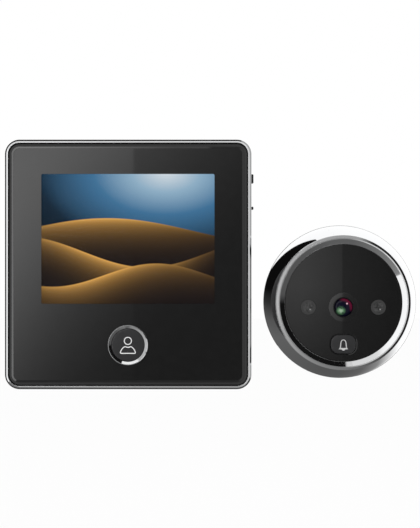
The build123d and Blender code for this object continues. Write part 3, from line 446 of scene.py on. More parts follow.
makers = {"chrome": makeChrome, "glossBlack": makeGloss, "faceBlack": makeGloss, "buttonGrey": makeGloss,
          "lensGlass": makeGloss, "surroundPale": makeSurround, "caseBlack": makeMoulded,
          "barrelBlack": makeMoulded, "board": makeMoulded, "zincSteel": makeSteel, "foam": makeFoam}
materials = {name: makers[name](name, **look) for name, look in finishes.items()}
materials.update({name: makePlain(name, *look) for name, look in plainFinishes.items()})
materials["picture"] = makePicture("picture")
materials["infrared"] = makeSmoky("infrared")
materials["lampClear"] = makeLampGlass("lampClear")
materials["coatedLens"] = makeLensWithPaintedReflections("coatedLens")
materials["clearWindow"] = makeClear("clearWindow")

nodeFinish = {
    "chrome": ["chrome_frame", "view_button_ring", "outer_shell", "front_bezel"],
    "glossBlack": ["front_panel", "face_window"],
    "clearWindow": ["screen_window"],
    "picture": ["lcd_glass"],
    "caseBlack": ["front_case", "rear_case", "battery_door", "power_slider", "reset_button", "rear_cover",
                  "inner_housing", "lens_barrel", "lens_holder", "bell_switch", "view_switch",
                  "power_switch_body", "reset_switch_body", "board_chips", "camera_board_chips"],
    "zincSteel": ["wall_bracket", "case_screws", "board_screws", "cover_screws"],
    "foam": ["bracket_foam_pad", "door_gasket"],
    "buttonGrey": ["view_button", "bell_button"],
    "iconPale": ["view_button_icon", "bell_button_icon"],
    "surroundPale": ["lens_surround"],
    "infrared": ["infrared_windows"],
    "lampClear": ["infrared_leds"],
    "lensGlass": ["front_lens", "lens_element", "image_sensor"],
    "board": ["main_board", "button_board", "camera_board"],
    "tin": ["lcd_backlight", "speaker", "battery_contacts_positive", "battery_contacts_negative"],
    "film": ["lcd_ribbon"],
    "sleeve": ["batteries"],
    "socketWhite": ["camera_socket", "cable_socket"],
    "brass": ["threaded_inserts"],
}
for finishName, nodes in nodeFinish.items():
    for node in nodes:
        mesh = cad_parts[node].data
        mesh.materials.clear()
        mesh.materials.append(materials[finishName])
unfinished = sorted(set(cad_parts) - {node for nodes in nodeFinish.values() for node in nodes})
print("finishes made:", len(materials), "nodes left without one:", unfinished)


# Outlines: a ring function turns an inset or a radius into the points of one closed ring
def circleRing(steps=144, at=(0.0, 0.0)):
    turns = [2 * math.pi * number / steps for number in range(steps)]
    return lambda radius: [(at[0] + radius * math.cos(t), at[1] + radius * math.sin(t)) for t in turns]


def squareRing(width, height, corner, steps=14, at=(0.0, 0.0)):
    def ring(inset):
        radius = max(corner - inset, 0.15)
        points = []
        for quarter, (right, up) in enumerate(((1, 1), (-1, 1), (-1, -1), (1, -1))):
            centreX = at[0] + right * (width / 2 - inset - radius)
            centreY = at[1] + up * (height / 2 - inset - radius)
            for number in range(steps + 1):
                turn = math.pi / 2 * (quarter + number / steps)
                points.append((centreX + radius * math.cos(turn), centreY + radius * math.sin(turn)))
        return points
    return ring


def cornersOf(sizes, *corners):
    # A profile's corners (amount, height, rounding), given by the names of their sizes or as numbers
    return [(sizes.get(amount, amount), sizes.get(height, height), rounding)
            for amount, height, rounding in corners]


def softened(profile, steps=5):
    # Each corner is rounded by an arc between its two sides
    points = []
    for number, (amount, height, rounding) in enumerate(profile):
        if not rounding:
            points.append((amount, height))
            continue
        corner = Vector((amount, height))
        before = (Vector(profile[number - 1][:2]) - corner).normalized()
        after = (Vector(profile[(number + 1) % len(profile)][:2]) - corner).normalized()
        half = before.angle(after) / 2
        middle = corner + (before + after).normalized() * (rounding / math.sin(half))
        start = corner + before * (rounding / math.tan(half)) - middle
        end = corner + after * (rounding / math.tan(half)) - middle
        for step in range(steps + 1):
            arm = start.slerp(end, step / steps).normalized() * rounding
            points.append(tuple(middle + arm))
    return points


def ringSkin(ring, profile, closed=False, capFoot=False, capHead=False, steps=5):
    # A skin through one ring for each point of the softened profile
    def make(bm, centre):
        rows = [[bm.verts.new(place(centre, x, y, height)) for x, y in ring(amount)]
                for amount, height in softened(profile, steps)]
        pairs = list(zip(rows, rows[1:])) + ([(rows[-1], rows[0])] if closed else [])
        for low, high in pairs:
            for number in range(len(low)):
                after = (number + 1) % len(low)
                bm.faces.new((low[number], low[after], high[after], high[number]))
        if capFoot:
            bm.faces.new(rows[0])
        if capHead:
            bm.faces.new(rows[-1])
    return make


def turned(profile, steps):
    return ringSkin(circleRing(steps), profile, closed=True)


def capped(ring, profile):
    return ringSkin(ring, profile, capFoot=True, capHead=True)


def holedSheet(height, loops):
    # A flat face between an outline and its holes, which are all rings of points
    def make(bm, centre):
        edges = []
        for points in loops:
            row = [bm.verts.new(place(centre, x, y, height)) for x, y in points]
            edges += [bm.edges.new((row[number - 1], row[number])) for number in range(len(row))]
        bmesh.ops.triangle_fill(bm, use_beauty=True, edges=edges, normal=(0, -1, 0))
    return make


def wall(points, low, high):
    return ringSkin(lambda amount: points, [(0, low, 0), (0, high, 0)])


def prism(loops, low, high):
    # A flat plate between an outline and its holes
    def make(bm, centre):
        for points in loops:
            wall(points, low, high)(bm, centre)
        for height in (low, high):
            holedSheet(height, loops)(bm, centre)
    return make


def shadeEvenly(mesh, angle):
    # Normals weighted by area, so that flat faces stay flat beside their rounded edges
    mesh.shade_smooth()
    mesh.set_sharp_from_angle(angle=math.radians(angle))
    # In millimetres for a moment, because the modifier skips areas as small as these are in square metres
    mesh.transform(Matrix.Scale(1 / mm, 4))
    holder = addObject("holder", mesh)
    weigh = holder.modifiers.new("weigh", "WEIGHTED_NORMAL")
    weigh.keep_sharp = True
    shaded = bakedMesh(holder)
    shaded.transform(Matrix.Scale(mm, 4))
    return shaded


# Each piece: its body, its material slot, its finish and the node it stands for
pieces = {
    "chromeFrame": ("monitor", "chrome", "chrome", "chrome_frame"),
    "frontPanel": ("monitor", "gloss_black", "glossBlack", "front_panel"),
    "viewRing": ("monitor", "chrome", "chrome", "view_button_ring"),
    "viewCap": ("view_button", "button_grey", "buttonGrey", "view_button"),
    "personMark": ("view_button", "icon_pale", "iconPale", "view_button_icon"),
    "outerShell": ("outdoor_unit", "chrome", "chrome", "outer_shell"),
    "frontBezel": ("outdoor_unit", "chrome", "chrome", "front_bezel"),
    "faceDisc": ("outdoor_unit", "gloss_black", "faceBlack", "face_window"),
    "lensSurround": ("outdoor_unit", "surround_pale", "surroundPale", "lens_surround"),
    "lensBarrel": ("outdoor_unit", "matte_black", "barrelBlack", "lens_barrel"),
    "frontLens": ("outdoor_unit", "lens_glass", "coatedLens", "front_lens"),
    "infraredWindows": ("outdoor_unit", "infrared_window", "infrared", "infrared_windows"),
    "infraredLamps": ("outdoor_unit", "lamp_clear", "lampClear", "infrared_leds"),
    "bellCap": ("bell_button", "button_grey", "buttonGrey", "bell_button"),
    "bellMark": ("bell_button", "icon_pale", "bellPale", "bell_button_icon"),
    "caseScrews": ("monitor", "zinc_steel", "zincSteel", "case_screws"),
    "coverScrews": ("outdoor_unit", "zinc_steel", "zincSteel", "cover_screws"),
}
# Edges stay sharp above this many degrees
sharpAngles = {"faceDisc": 21, "frontLens": 60, "infraredLamps": 40, "others": 32}


def show(name, mesh):
    body, slot, finishName, node = pieces[name]
    shaded = shadeEvenly(mesh, sharpAngles.get(name, sharpAngles["others"]))
    shaded.name = name
    shaded.materials.clear()
    shaded.materials.append(materials[finishName])
    piece = addObject(name, shaded)
    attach(piece, body)
    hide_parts(node)


def formMesh(name, centre, parts):
    bm = bmesh.new()
    for part in parts:
        part(bm, centre)
    bmesh.ops.remove_doubles(bm, verts=bm.verts, dist=1e-7)
    bmesh.ops.recalc_face_normals(bm, faces=bm.faces)
    mesh = bpy.data.meshes.new(name)
    bm.to_mesh(mesh)
    bm.free()
    return mesh


def build(name, centre, parts):
    show(name, formMesh(name, centre, parts))


def worldPlace(centre):
    return tuple(place(centre, 0.0, 0.0, 0.0))


# The chrome frame: its profile is swept along the rounded outline by Geometry Nodes
frameSizes = {"width": 87.1, "height": 88.2, "corner": 5.2, "cornerSteps": 18, "back": 13.6,
              "shoulder": 18.36, "bevel": 0.62, "bevelFront": 19.1, "band": 1.2, "front": 19.3,
              "lip": 2.16, "lipFront": 14.4}


def profileObject(name, points):
    mesh = bpy.data.meshes.new(name)
    count = len(points)
    edges = [(number, (number + 1) % count) for number in range(count)]
    # Taken backwards, so that the swept faces point outwards
    mesh.from_pydata([(-inset * mm, -height * mm, 0) for inset, height in reversed(points)], edges, [])
    return addObject(name, mesh)


def frameGrowth():
    graph = GrowthGraph("frameSweep", {"Width": "number", "Height": "number", "Corner": "number",
                                       "Corner Steps": "count", "Profile": "object", "Place": "offset",
                                       "Material": "material"})
    given = graph.given
    outline = graph.node("GeometryNodeCurvePrimitiveQuadrilateral", {},
                         {"Width": given["Width"], "Height": given["Height"]})
    path = graph.node("GeometryNodeFilletCurve", {"mode": "POLY"},
                      {"Curve": outline, "Count": given["Corner Steps"], "Radius": given["Corner"]})
    upward = graph.node("GeometryNodeSetCurveNormal", {"mode": "Z_UP"}, {"Curve": path})
    shape = graph.node("GeometryNodeObjectInfo", {}, {"Object": given["Profile"]}, "Geometry")
    profile = graph.node("GeometryNodeMeshToCurve", {}, {"Mesh": shape})
    swept = graph.node("GeometryNodeCurveToMesh", {}, {"Curve": upward, "Profile Curve": profile})
    graph.end(swept)
    return graph


def makeFrame():
    sizes = frameSizes
    corners = cornersOf(sizes, (0.0, "back", 0.15), (0.0, "shoulder", 0.04), ("bevel", "bevelFront", 0.04),
                        ("band", "front", 0.1), ("band", "lipFront", 0), ("lip", "lipFront", 0.1),
                        ("lip", "back", 0.1))
    profile = profileObject("frameProfile", softened(corners, 6))
    mesh = frameGrowth().mesh("chromeFrame", {
        "Width": sizes["width"] * mm, "Height": sizes["height"] * mm, "Corner": sizes["corner"] * mm,
        "Corner Steps": sizes["cornerSteps"], "Profile": profile, "Place": worldPlace(monitorCentre),
        "Material": materials["chrome"]})
    bpy.data.objects.remove(profile)
    show("chromeFrame", mesh)


# The front panel: a slope up from the frame, a shallow shoulder, the screen's opening and the button's hole
panelSizes = {"inset": 1.21, "back": 18.5, "rim": 18.73, "slope": 2.55, "slopeHeight": 19.816, "front": 20.0,
              "shoulder": 3.32, "flat": 3.75, "hole": 6.75}
screenSizes = {"width": 60.96, "height": 45.72, "corner": 0.5, "y": 9.0}
buttonY = -28.4
buttonSpot = (monitorCentre[0], monitorCentre[1] + buttonY)


def makePanel():
    sizes = panelSizes
    outline = squareRing(frameSizes["width"], frameSizes["height"], frameSizes["corner"], 18)
    screen = squareRing(screenSizes["width"], screenSizes["height"], screenSizes["corner"], 5,
                        (0.0, screenSizes["y"]))
    hole = circleRing(120, (0.0, buttonY))
    back, front = sizes["back"], sizes["front"]
    openings = [screen(0.0), hole(sizes["hole"])]
    edge = cornersOf(sizes, ("inset", "back", 0), ("inset", "rim", 0.04), ("slope", "slopeHeight", 0.25),
                     ("shoulder", "front", 0.4), ("flat", "front", 0))
    under = cornersOf(sizes, ("inset", "back", 0), ("flat", "back", 0))
    parts = [ringSkin(outline, edge, steps=8), ringSkin(outline, under)]
    parts += [wall(points, back, front) for points in openings]
    parts += [holedSheet(height, [outline(sizes["flat"])] + openings) for height in (back, front)]
    build("frontPanel", monitorCentre, parts)


ringSizes = {"bore": 5.9, "sleeve": 6.7, "back": 18.5, "foot": 19.97, "crest": 6.78, "front": 20.5,
             "brow": 7.02, "browHeight": 20.445, "outer": 7.1, "under": 20.05}


def makeViewRing():
    profile = cornersOf(ringSizes, ("bore", "back", 0), ("bore", "foot", 0.05), ("crest", "front", 0.03),
                        ("brow", "browHeight", 0.02), ("outer", "under", 0), ("sleeve", "under", 0),
                        ("sleeve", "back", 0))
    build("viewRing", buttonSpot, [turned(profile, 160)])


capSizes = {"radius": 5.75, "flange": 6.3, "flangeBack": 17.75, "flangeFront": 18.35, "front": 20.2,
            "middle": 4.75}


def makeViewCap():
    profile = cornersOf(capSizes, ("flange", "flangeBack", 0), ("flange", "flangeFront", 0),
                        ("radius", "flangeFront", 0), ("radius", "front", 0.3), ("middle", "front", 0))
    build("viewCap", buttonSpot, [capped(circleRing(120), profile)])


# Marks on the buttons: thin plates between an outline and its hollow, sunk into the cap's face
markSizes = {"sunk": 0.25, "proud": 0.02}


def markPlate(loops, front):
    return prism(loops, front - markSizes["sunk"], front + markSizes["proud"])


def roundLoop(points, steps=6):
    # A smooth closed curve; a point given twice keeps its corner
    smooth = []
    for number in range(len(points)):
        before, start, end, after = [Vector(points[(number + step) % len(points)]) for step in (-1, 0, 1, 2)]
        if (end - start).length < 1e-6:
            continue
        for step in range(steps):
            t = step / steps
            smooth.append(tuple(0.5 * (2 * start + (end - before) * t
                                       + (2 * before - 5 * start + 4 * end - after) * t ** 2
                                       + (3 * start - before - 3 * end + after) * t ** 3)))
    return smooth


def strokeLoop(points, stroke):
    # The same loop offset inwards by the stroke's width
    moved = []
    for number, point in enumerate(points):
        before = (Vector(point) - Vector(points[number - 1])).normalized()
        after = (Vector(points[(number + 1) % len(points)]) - Vector(point)).normalized()
        left = Vector((-before.y - after.y, before.x + after.x)).normalized()
        reach = stroke / max(left.dot(Vector((-before.y, before.x))), 0.5)
        moved.append(tuple(Vector(point) + left * reach))
    return moved


personSizes = {
    "headRadius": 1.42, "headY": 1.5, "stroke": 0.33, "scale": 0.97,
    "shoulders": [(2.42, -3.14), (2.87, -2.72), (2.64, -1.9), (2.2, -1.2), (1.65, -0.68), (1.05, -0.36),
                  (0.55, -0.52), (0.0, -0.62), (-0.55, -0.52), (-1.05, -0.36), (-1.65, -0.68), (-2.2, -1.2),
                  (-2.64, -1.9), (-2.87, -2.72), (-2.42, -3.14), (0.0, -3.14)],
}


def makePerson():
    sizes = personSizes
    front = capSizes["front"]
    head = circleRing(64, (0.0, sizes["headY"]))
    heads = [head(sizes["headRadius"]), head(sizes["headRadius"] - sizes["stroke"])]
    shoulders = [(x * sizes["scale"], y * sizes["scale"]) for x, y in sizes["shoulders"]]
    strokes = [roundLoop(shoulders), roundLoop(strokeLoop(shoulders, sizes["stroke"]))]
    build("personMark", buttonSpot, [markPlate(heads, front), markPlate(strokes, front)])


# The bell's cap: insets from its outline, then its round stem
bellCapSizes = {"width": 8.8, "height": 6.5, "corner": 2.7, "y": -14.8, "front": 14.2, "middle": 1.0,
                "flange": -0.8, "flangeBack": 12.15, "flangeFront": 12.75,
                "stem": 1.4, "stemMiddle": 0.6, "stemBack": 11.65, "stemFront": 12.25}
bellSizes = {
    "wide": 1.07, "high": 0.885, "foot": -2.24,
    "body": [(1.72, -1.66), (1.3, -1.3), (1.12, -0.5), (1.02, 0.7), (0.86, 1.5), (0.5, 2.04), (0.0, 2.22),
             (-0.5, 2.04), (-0.86, 1.5), (-1.02, 0.7), (-1.12, -0.5), (-1.3, -1.3), (-1.72, -1.66),
             (-1.72, -1.66), (-0.65, -1.8), (-0.4, -2.1), (0.0, -2.24), (0.4, -2.1), (0.65, -1.8),
             (1.72, -1.66)],
    "hollow": [(0.9, -1.12), (0.8, -0.5), (0.7, 0.7), (0.57, 1.36), (0.33, 1.76), (0.0, 1.9), (-0.33, 1.76),
               (-0.57, 1.36), (-0.7, 0.7), (-0.8, -0.5), (-0.9, -1.12), (-0.9, -1.12), (0.0, -1.2),
               (0.9, -1.12)],
}


def fittedBell(points):
    foot = bellSizes["foot"]
    fitted = [(x * bellSizes["wide"], (y - foot) * bellSizes["high"] + foot) for x, y in points]
    return roundLoop(fitted)


def makeBell():
    sizes = bellCapSizes
    spot = (outdoorCentre[0], outdoorCentre[1] + sizes["y"])
    outline = squareRing(sizes["width"], sizes["height"], sizes["corner"], 12)
    profile = cornersOf(sizes, ("flange", "flangeBack", 0), ("flange", "flangeFront", 0),
                        (0.0, "flangeFront", 0), (0.0, "front", 0.3), ("middle", "front", 0))
    stem = cornersOf(sizes, ("stemMiddle", "stemBack", 0), ("stem", "stemBack", 0.1),
                     ("stem", "stemFront", 0))
    build("bellCap", spot, [capped(outline, profile), capped(circleRing(40), stem)])
    mark = markPlate([fittedBell(bellSizes["body"]), fittedBell(bellSizes["hollow"])], sizes["front"])
    build("bellMark", spot, [mark])


# The outdoor camera: turned pieces about its own middle
shellSizes = {"base": 28.0, "inside": 26.8, "top": 24.15, "wall": 1.2, "back": 0.8, "rim": 1.4,
              "rimWidth": 0.1, "edge": 1.5, "front": 12.6, "bulge": 0.5}


def shellRun(sizes, inset, steps=20):
    # The skirt's bulging slope from the base's edge to the bezel
    start = Vector((sizes["base"] - sizes["rimWidth"] - inset, sizes["edge"]))
    end = Vector((sizes["top"] - inset, sizes["front"]))
    out = Vector((end.y - start.y, start.x - end.x)).normalized()
    points = []
    for step in range(steps + 1):
        share = step / steps
        points.append(tuple(start.lerp(end, share) + out * sizes["bulge"] * 4 * share * (1 - share)))
    return points


def makeShell():
    sizes = shellSizes
    outer = [(radius, height, 0) for radius, height in shellRun(sizes, 0.0)]
    inner = [(radius, height, 0) for radius, height in reversed(shellRun(sizes, sizes["wall"]))]
    profile = cornersOf(sizes, ("inside", "back", 0), ("base", "back", 0.1), ("base", "rim", 0.03))
    build("outerShell", outdoorCentre, [turned(profile + outer + inner, 180)])


bezelSizes = {"back": 12.65, "radius": 24.0, "side": 14.348, "chamfer": 23.15, "chamferFront": 14.9,
              "crest": 22.75, "front": 15.0, "bore": 21.05, "face": 14.17, "ledgeFront": 12.85, "ledge": 19.9,
              "ledgeBack": 12.0, "spigot": 22.9, "spigotBore": 21.7, "spigotBack": 11.25}


def makeBezel():
    profile = cornersOf(bezelSizes, ("radius", "back", 0.1), ("radius", "side", 0.04),
                        ("chamfer", "chamferFront", 0.05), ("crest", "front", 0.04), ("bore", "face", 0.04),
                        ("bore", "ledgeFront", 0), ("ledge", "ledgeFront", 0), ("ledge", "ledgeBack", 0),
                        ("spigotBore", "ledgeBack", 0), ("spigotBore", "spigotBack", 0),
                        ("spigot", "spigotBack", 0), ("spigot", "back", 0))
    build("frontBezel", outdoorCentre, [turned(profile, 180)])


faceSizes = {"radius": 21.0, "flat": 20.4, "back": 12.9, "front": 14.0, "lensHole": 5.22, "lampHole": 2.75,
             "bellWidth": 9.4, "bellHeight": 7.1, "bellCorner": 3.0, "bellChamfer": -0.3, "bellFront": 13.85}


def makeFace():
    sizes = faceSizes
    disc = circleRing(160)
    bell = squareRing(sizes["bellWidth"], sizes["bellHeight"], sizes["bellCorner"], 12,
                      (0.0, bellCapSizes["y"]))
    holes = [circleRing(80, (0.0, -lensDrop))(sizes["lensHole"])]
    for side in (-1, 1):
        holes.append(circleRing(56, (side * infraredSizes["x"], -lensDrop))(sizes["lampHole"]))
    back, front, flat = sizes["back"], sizes["front"], disc(sizes["flat"])
    rim = cornersOf(sizes, ("flat", "back", 0), ("radius", "back", 0), ("radius", "front", 0.2),
                    ("flat", "front", 0))
    bellRim = cornersOf(sizes, (0.0, "back", 0), (0.0, "bellFront", 0), ("bellChamfer", "front", 0))
    parts = [ringSkin(disc, rim), ringSkin(bell, bellRim), holedSheet(back, [flat, bell(0.0)] + holes),
             holedSheet(front, [flat, bell(sizes["bellChamfer"])] + holes)]
    parts += [wall(points, back, front) for points in holes]
    build("faceDisc", outdoorCentre, parts)


surroundSizes = {"radius": 5.2, "bore": 3.66, "front": 14.12, "flange": 5.8, "flangeFront": 12.85,
                 "flangeBack": 12.25}
barrelSizes = {"radius": 3.6, "bore": 3.35, "back": 9.4, "front": 14.9, "boreFront": 14.88, "stop": 1.9,
               "stopFront": 13.2, "stopBack": 12.4}


def makeLensSet():
    profile = cornersOf(surroundSizes, ("bore", "flangeBack", 0), ("flange", "flangeBack", 0),
                        ("flange", "flangeFront", 0), ("radius", "flangeFront", 0), ("radius", "front", 0.08),
                        ("bore", "front", 0))
    build("lensSurround", lensSpot, [turned(profile, 96)])
    profile = cornersOf(barrelSizes, ("bore", "back", 0), ("radius", "back", 0), ("radius", "front", 0.05),
                        ("bore", "boreFront", 0.05), ("bore", "stopFront", 0), ("stop", "stopFront", 0),
                        ("stop", "stopBack", 0), ("bore", "stopBack", 0))
    build("lensBarrel", lensSpot, [turned(profile, 96)])


def makeFrontLens(steps=22):
    sizes = lensSizes
    curve = (sizes["radius"] ** 2 + sizes["rise"] ** 2) / (2 * sizes["rise"])
    spread = math.asin(sizes["radius"] / curve)
    crown = sizes["rim"] + sizes["rise"]
    profile = [(sizes["radius"], sizes["back"], 0)]
    for step in range(steps):
        turn = spread * (1 - step / steps)
        profile.append((curve * math.sin(turn), crown - curve * (1 - math.cos(turn)), 0))
    build("frontLens", lensSpot, [capped(circleRing(96), profile)])


infraredSizes = {"x": 12.5, "radius": 2.7, "flat": 2.1, "back": 12.9, "front": 14.0, "dome": 2.3,
                 "domeBase": 10.0, "cup": 2.5, "cupBack": 8.9, "cupFront": 9.7}


def makeInfrared(steps=12):
    sizes = infraredSizes
    window = cornersOf(sizes, ("radius", "back", 0), ("radius", "front", 0.1), ("flat", "front", 0))
    lamp = cornersOf(sizes, ("cup", "cupBack", 0), ("cup", "cupFront", 0), ("dome", "cupFront", 0))
    for step in range(steps):
        turn = math.pi / 2 * step / steps
        lamp.append((sizes["dome"] * math.cos(turn), sizes["domeBase"] + sizes["dome"] * math.sin(turn), 0))
    spots = [circleRing(56, (side * sizes["x"], 0.0)) for side in (-1, 1)]
    build("infraredWindows", lensSpot, [capped(spot, window) for spot in spots])
    build("infraredLamps", lensSpot, [capped(spot, lamp) for spot in spots])


# Screws: one cross-head screw in mesh code, set out by Geometry Nodes
screwSizes = {
    "case": {"shank": 1.0, "length": 14.15, "head": 1.9, "headHeight": 1.3, "seat": 2.3, "cross": 1.33},
    "cover": {"shank": 1.0, "length": 6.0, "head": 1.8, "headHeight": 1.0, "seat": 2.0, "cross": 1.26},
}
crossSizes = {"half": 0.25, "deepHalf": 0.18, "deepShare": 0.55, "depth": 0.6, "rim": 0.45}
tipSizes = {"length": 0.5, "share": 0.4}
screwPlaces = {"caseX": 37.4, "caseY": 37.85, "coverCircle": 19.0, "coverTurn": 90.0, "coverCount": 3}


def crossLoop(reach, half):
    quarter = [(reach, -half), (reach, half), (half, half)]
    points = []
    for turn in range(4):
        points += quarter
        quarter = [(-y, x) for x, y in quarter]
    return points


def screwObject(name, sizes):
    ring = circleRing(40)
    top = sizes["seat"] - sizes["headHeight"]
    bottom = top + crossSizes["depth"]
    flat = sizes["head"] - crossSizes["rim"]
    end = sizes["seat"] + sizes["length"]
    recess = {top: crossLoop(sizes["cross"], crossSizes["half"]),
              bottom: crossLoop(sizes["cross"] * crossSizes["deepShare"], crossSizes["deepHalf"])}
    profile = [(flat, top, 0), (sizes["head"], top, 0.3), (sizes["head"], sizes["seat"], 0.08),
               (sizes["shank"], sizes["seat"], 0), (sizes["shank"], end - tipSizes["length"], 0.1),
               (sizes["shank"] * tipSizes["share"], end, 0)]
    parts = [ringSkin(ring, profile, capHead=True), holedSheet(top, [ring(flat), recess[top]]),
             ringSkin(lambda amount: recess[amount], [(top, top, 0), (bottom, bottom, 0)], capHead=True)]
    mesh = formMesh(name, (0.0, 0.0), parts)
    # Laid face up, because the growth stands everything upright at its end
    mesh.transform(Matrix.Rotation(-math.pi / 2, 4, "X"))
    return addObject(name, mesh)


def growScrews(name, points, sizes, values):
    graph = GrowthGraph(name, {"Width": "number", "Height": "number", "Circle": "number",
                               "Count": "count", "Turn": "number", "Screw": "object", "Place": "offset",
                               "Material": "material"})
    given = graph.given
    if points == "grid":
        sockets = {"Size X": given["Width"], "Size Y": given["Height"], "Vertices X": 2, "Vertices Y": 2}
        spots = graph.node("GeometryNodeMeshGrid", {}, sockets)
    else:
        sockets = {"Vertices": given["Count"], "Radius": given["Circle"]}
        circle = graph.node("GeometryNodeMeshCircle", {}, sockets)
        turn = graph.node("ShaderNodeCombineXYZ", {}, {"Z": given["Turn"]})
        spots = graph.node("GeometryNodeTransform", {}, {"Geometry": circle, "Rotation": turn})
    sockets = {"Object": given["Screw"], "As Instance": True}
    screw = graph.node("GeometryNodeObjectInfo", {}, sockets, "Geometry")
    graph.end(graph.node("GeometryNodeInstanceOnPoints", {}, {"Points": spots, "Instance": screw}))
    pattern = screwObject(name + "Pattern", sizes)
    mesh = graph.mesh(name, {**values, "Screw": pattern, "Material": materials["zincSteel"]})
    bpy.data.objects.remove(pattern)
    show(name, mesh)


def makeScrews():
    growScrews("caseScrews", "grid", screwSizes["case"],
               {"Width": 2 * screwPlaces["caseX"] * mm, "Height": 2 * screwPlaces["caseY"] * mm,
                "Place": worldPlace(monitorCentre)})
    growScrews("coverScrews", "circle", screwSizes["cover"],
               {"Circle": screwPlaces["coverCircle"] * mm, "Count": screwPlaces["coverCount"],
                "Turn": math.radians(screwPlaces["coverTurn"]), "Place": worldPlace(outdoorCentre)})


makeFrame()
makePanel()
makeViewRing()
makeViewCap()
makePerson()
print("monitor's face built")
makeShell()
makeBezel()
makeFace()
makeLensSet()
makeFrontLens()
makeInfrared()
makeBell()
print("outdoor camera's face built")
makeScrews()
print("screws grown")


# Studio: a pale floor, a tent and a soft lamp's glare that only reflections see, and soft lamps
studio = {"floor": -0.30, "floorSize": 12.0, "floorWhite": 0.8, "world": 1.0, "tentRadius": 30.0}
# Directions in the tent: degrees away from the viewer, and hours of a clock face as the viewer sees it
# Each zone has the angle where it starts, or its angles by hour, then its edge's blur and its levels by hour
tent = {
    "brow": (22.0, 0.5, [(0.0, 0.28), (0.6, 0.28), (1.2, 0.7), (4.8, 0.7), (5.6, 0.2), (6.6, 0.22),
                         (8.0, 0.28)]),
    "lip": ([(0.0, 30.0), (0.1, 90.0), (7.1, 90.0), (7.2, 35.6), (9.6, 34.6), (10.6, 34.6), (11.3, 31.0)],
            0.3, [(0.0, 0.9), (7.2, 2.6), (8.0, 3.2), (11.5, 3.9), (11.9, 1.0)]),
    "band": ([(0.0, 36.0), (1.4, 34.8), (3.0, 31.5), (4.6, 34.8), (6.0, 36.0), (7.65, 40.0), (9.0, 39.2),
              (10.4, 40.0), (11.5, 36.3)], 0.3,
             [(0.0, 0.8), (1.36, 0.85), (2.6, 0.75), (3.4, 0.7), (4.64, 0.6), (5.8, 0.4), (6.5, 0.4),
              (7.2, 0.7), (7.9, 1.05), (10.5, 1.1), (11.4, 0.9), (11.8, 0.8)]),
    "inner": (44.2, 0.3, [(0.0, 0.7), (0.18, 0.7), (0.22, 0.006), (3.1, 0.012), (3.45, 0.115), (6.0, 0.125),
                          (7.87, 0.24), (7.92, 1.05), (9.5, 1.05), (11.0, 0.8)]),
    "outer": (53.0, 0.2, [(0.0, 0.98), (0.53, 0.98), (0.57, 0.006), (3.05, 0.006), (3.3, 0.09), (6.0, 0.12),
                          (7.6, 0.2), (8.3, 0.3), (8.36, 0.5), (8.9, 0.6), (9.8, 0.9), (11.0, 0.98)]),
    "rim": ([(0.0, 60.5), (5.5, 62.0), (6.0, 65.5), (7.0, 65.5), (7.7, 64.3), (8.9, 62.4), (9.5, 61.3),
             (10.5, 60.5)], 0.2,
            [(0.0, 0.38), (0.7, 0.38), (1.1, 0.02), (4.4, 0.02), (5.0, 0.12), (5.8, 0.2), (6.8, 0.28),
             (7.8, 0.4), (8.9, 0.55), (10.1, 0.5), (11.2, 0.4)]),
    "groove": (77.5, 0.5, [(0.0, 0.55), (2.0, 0.7), (4.0, 0.7), (6.0, 0.5), (9.0, 0.7), (11.5, 0.6)]),
    "bevel": (98.0, 0.4, [(0.0, 0.03), (0.55, 0.03), (0.75, 0.42), (3.55, 0.42), (3.7, 0.06), (8.0, 0.06),
                          (11.5, 0.03)]),
    "back": (112.8, 1.0, [(0.0, 1.12), (4.1, 1.12), (4.75, 0.27), (5.2, 0.13), (5.7, 0.10), (6.3, 0.10),
                          (7.8, 0.13), (8.35, 0.10), (8.9, 0.03), (9.3, 0.004)]),
    "far": ([(0.0, 60.0), (0.1, 180.0), (9.85, 180.0), (9.9, 159.0), (11.45, 126.0), (11.55, 60.0)], 0.6,
            [(0.0, 1.12)]),
}
farStart = 112.8  # The far zone never starts below this angle
# The soft lamp's card: its edges, then what the panel and the disc see of it, in metres and levels
glare = {"y": -0.46, "left": -0.121, "right": 0.18, "foot": -0.17, "head": 0.08}
panelGlare = {"left": -0.1058, "head": 0.0587, "edge": -0.0254, "end": 0.064, "level": 2.5, "past": 0.38,
              "step": 0.00071, "fall": 0.0024, "across": 3.1e-5, "corner": 7.3e-5, "down": 2.8e-5}
discGlare = {"left": 0.07, "edge": 0.124, "end": 0.16, "foot": -0.105, "rise": 0.075, "level": 0.40,
             "past": 0.18, "nearFade": 0.028, "farFade": 0.036}
lamps = {
    "key": {"at": (-0.55, -0.70, 0.65), "size": 0.5, "power": 2.0},
    "fill": {"at": (0.75, -0.60, 0.25), "size": 0.6, "power": 1.0},
}
lampAim = (0.03, 0.0, -0.02)
view = {"lens": 84.0, "sensor": 36.0, "x": 0.0289, "y": -0.4537, "z": -0.0148}


class Glow(Graph):
    # An emission that varies over a stage piece, by Object coordinates
    def __init__(self, name):
        self.material = bpy.data.materials.new(name)
        self.material.use_nodes = True
        super().__init__(self.material.node_tree)
        self.tree.nodes.clear()
        self.at = self.axes(self.node("ShaderNodeTexCoord", {}, {}, "Object"))

    def end(self, light):
        emission = self.node("ShaderNodeEmission", {}, {"Color": light})
        output = self.tree.nodes.new("ShaderNodeOutputMaterial")
        self.tree.links.new(emission.socket, output.inputs["Surface"])
        return self.material


def onlyReflected(piece):
    piece.visible_camera = False
    piece.visible_diffuse = False
    piece.visible_shadow = False


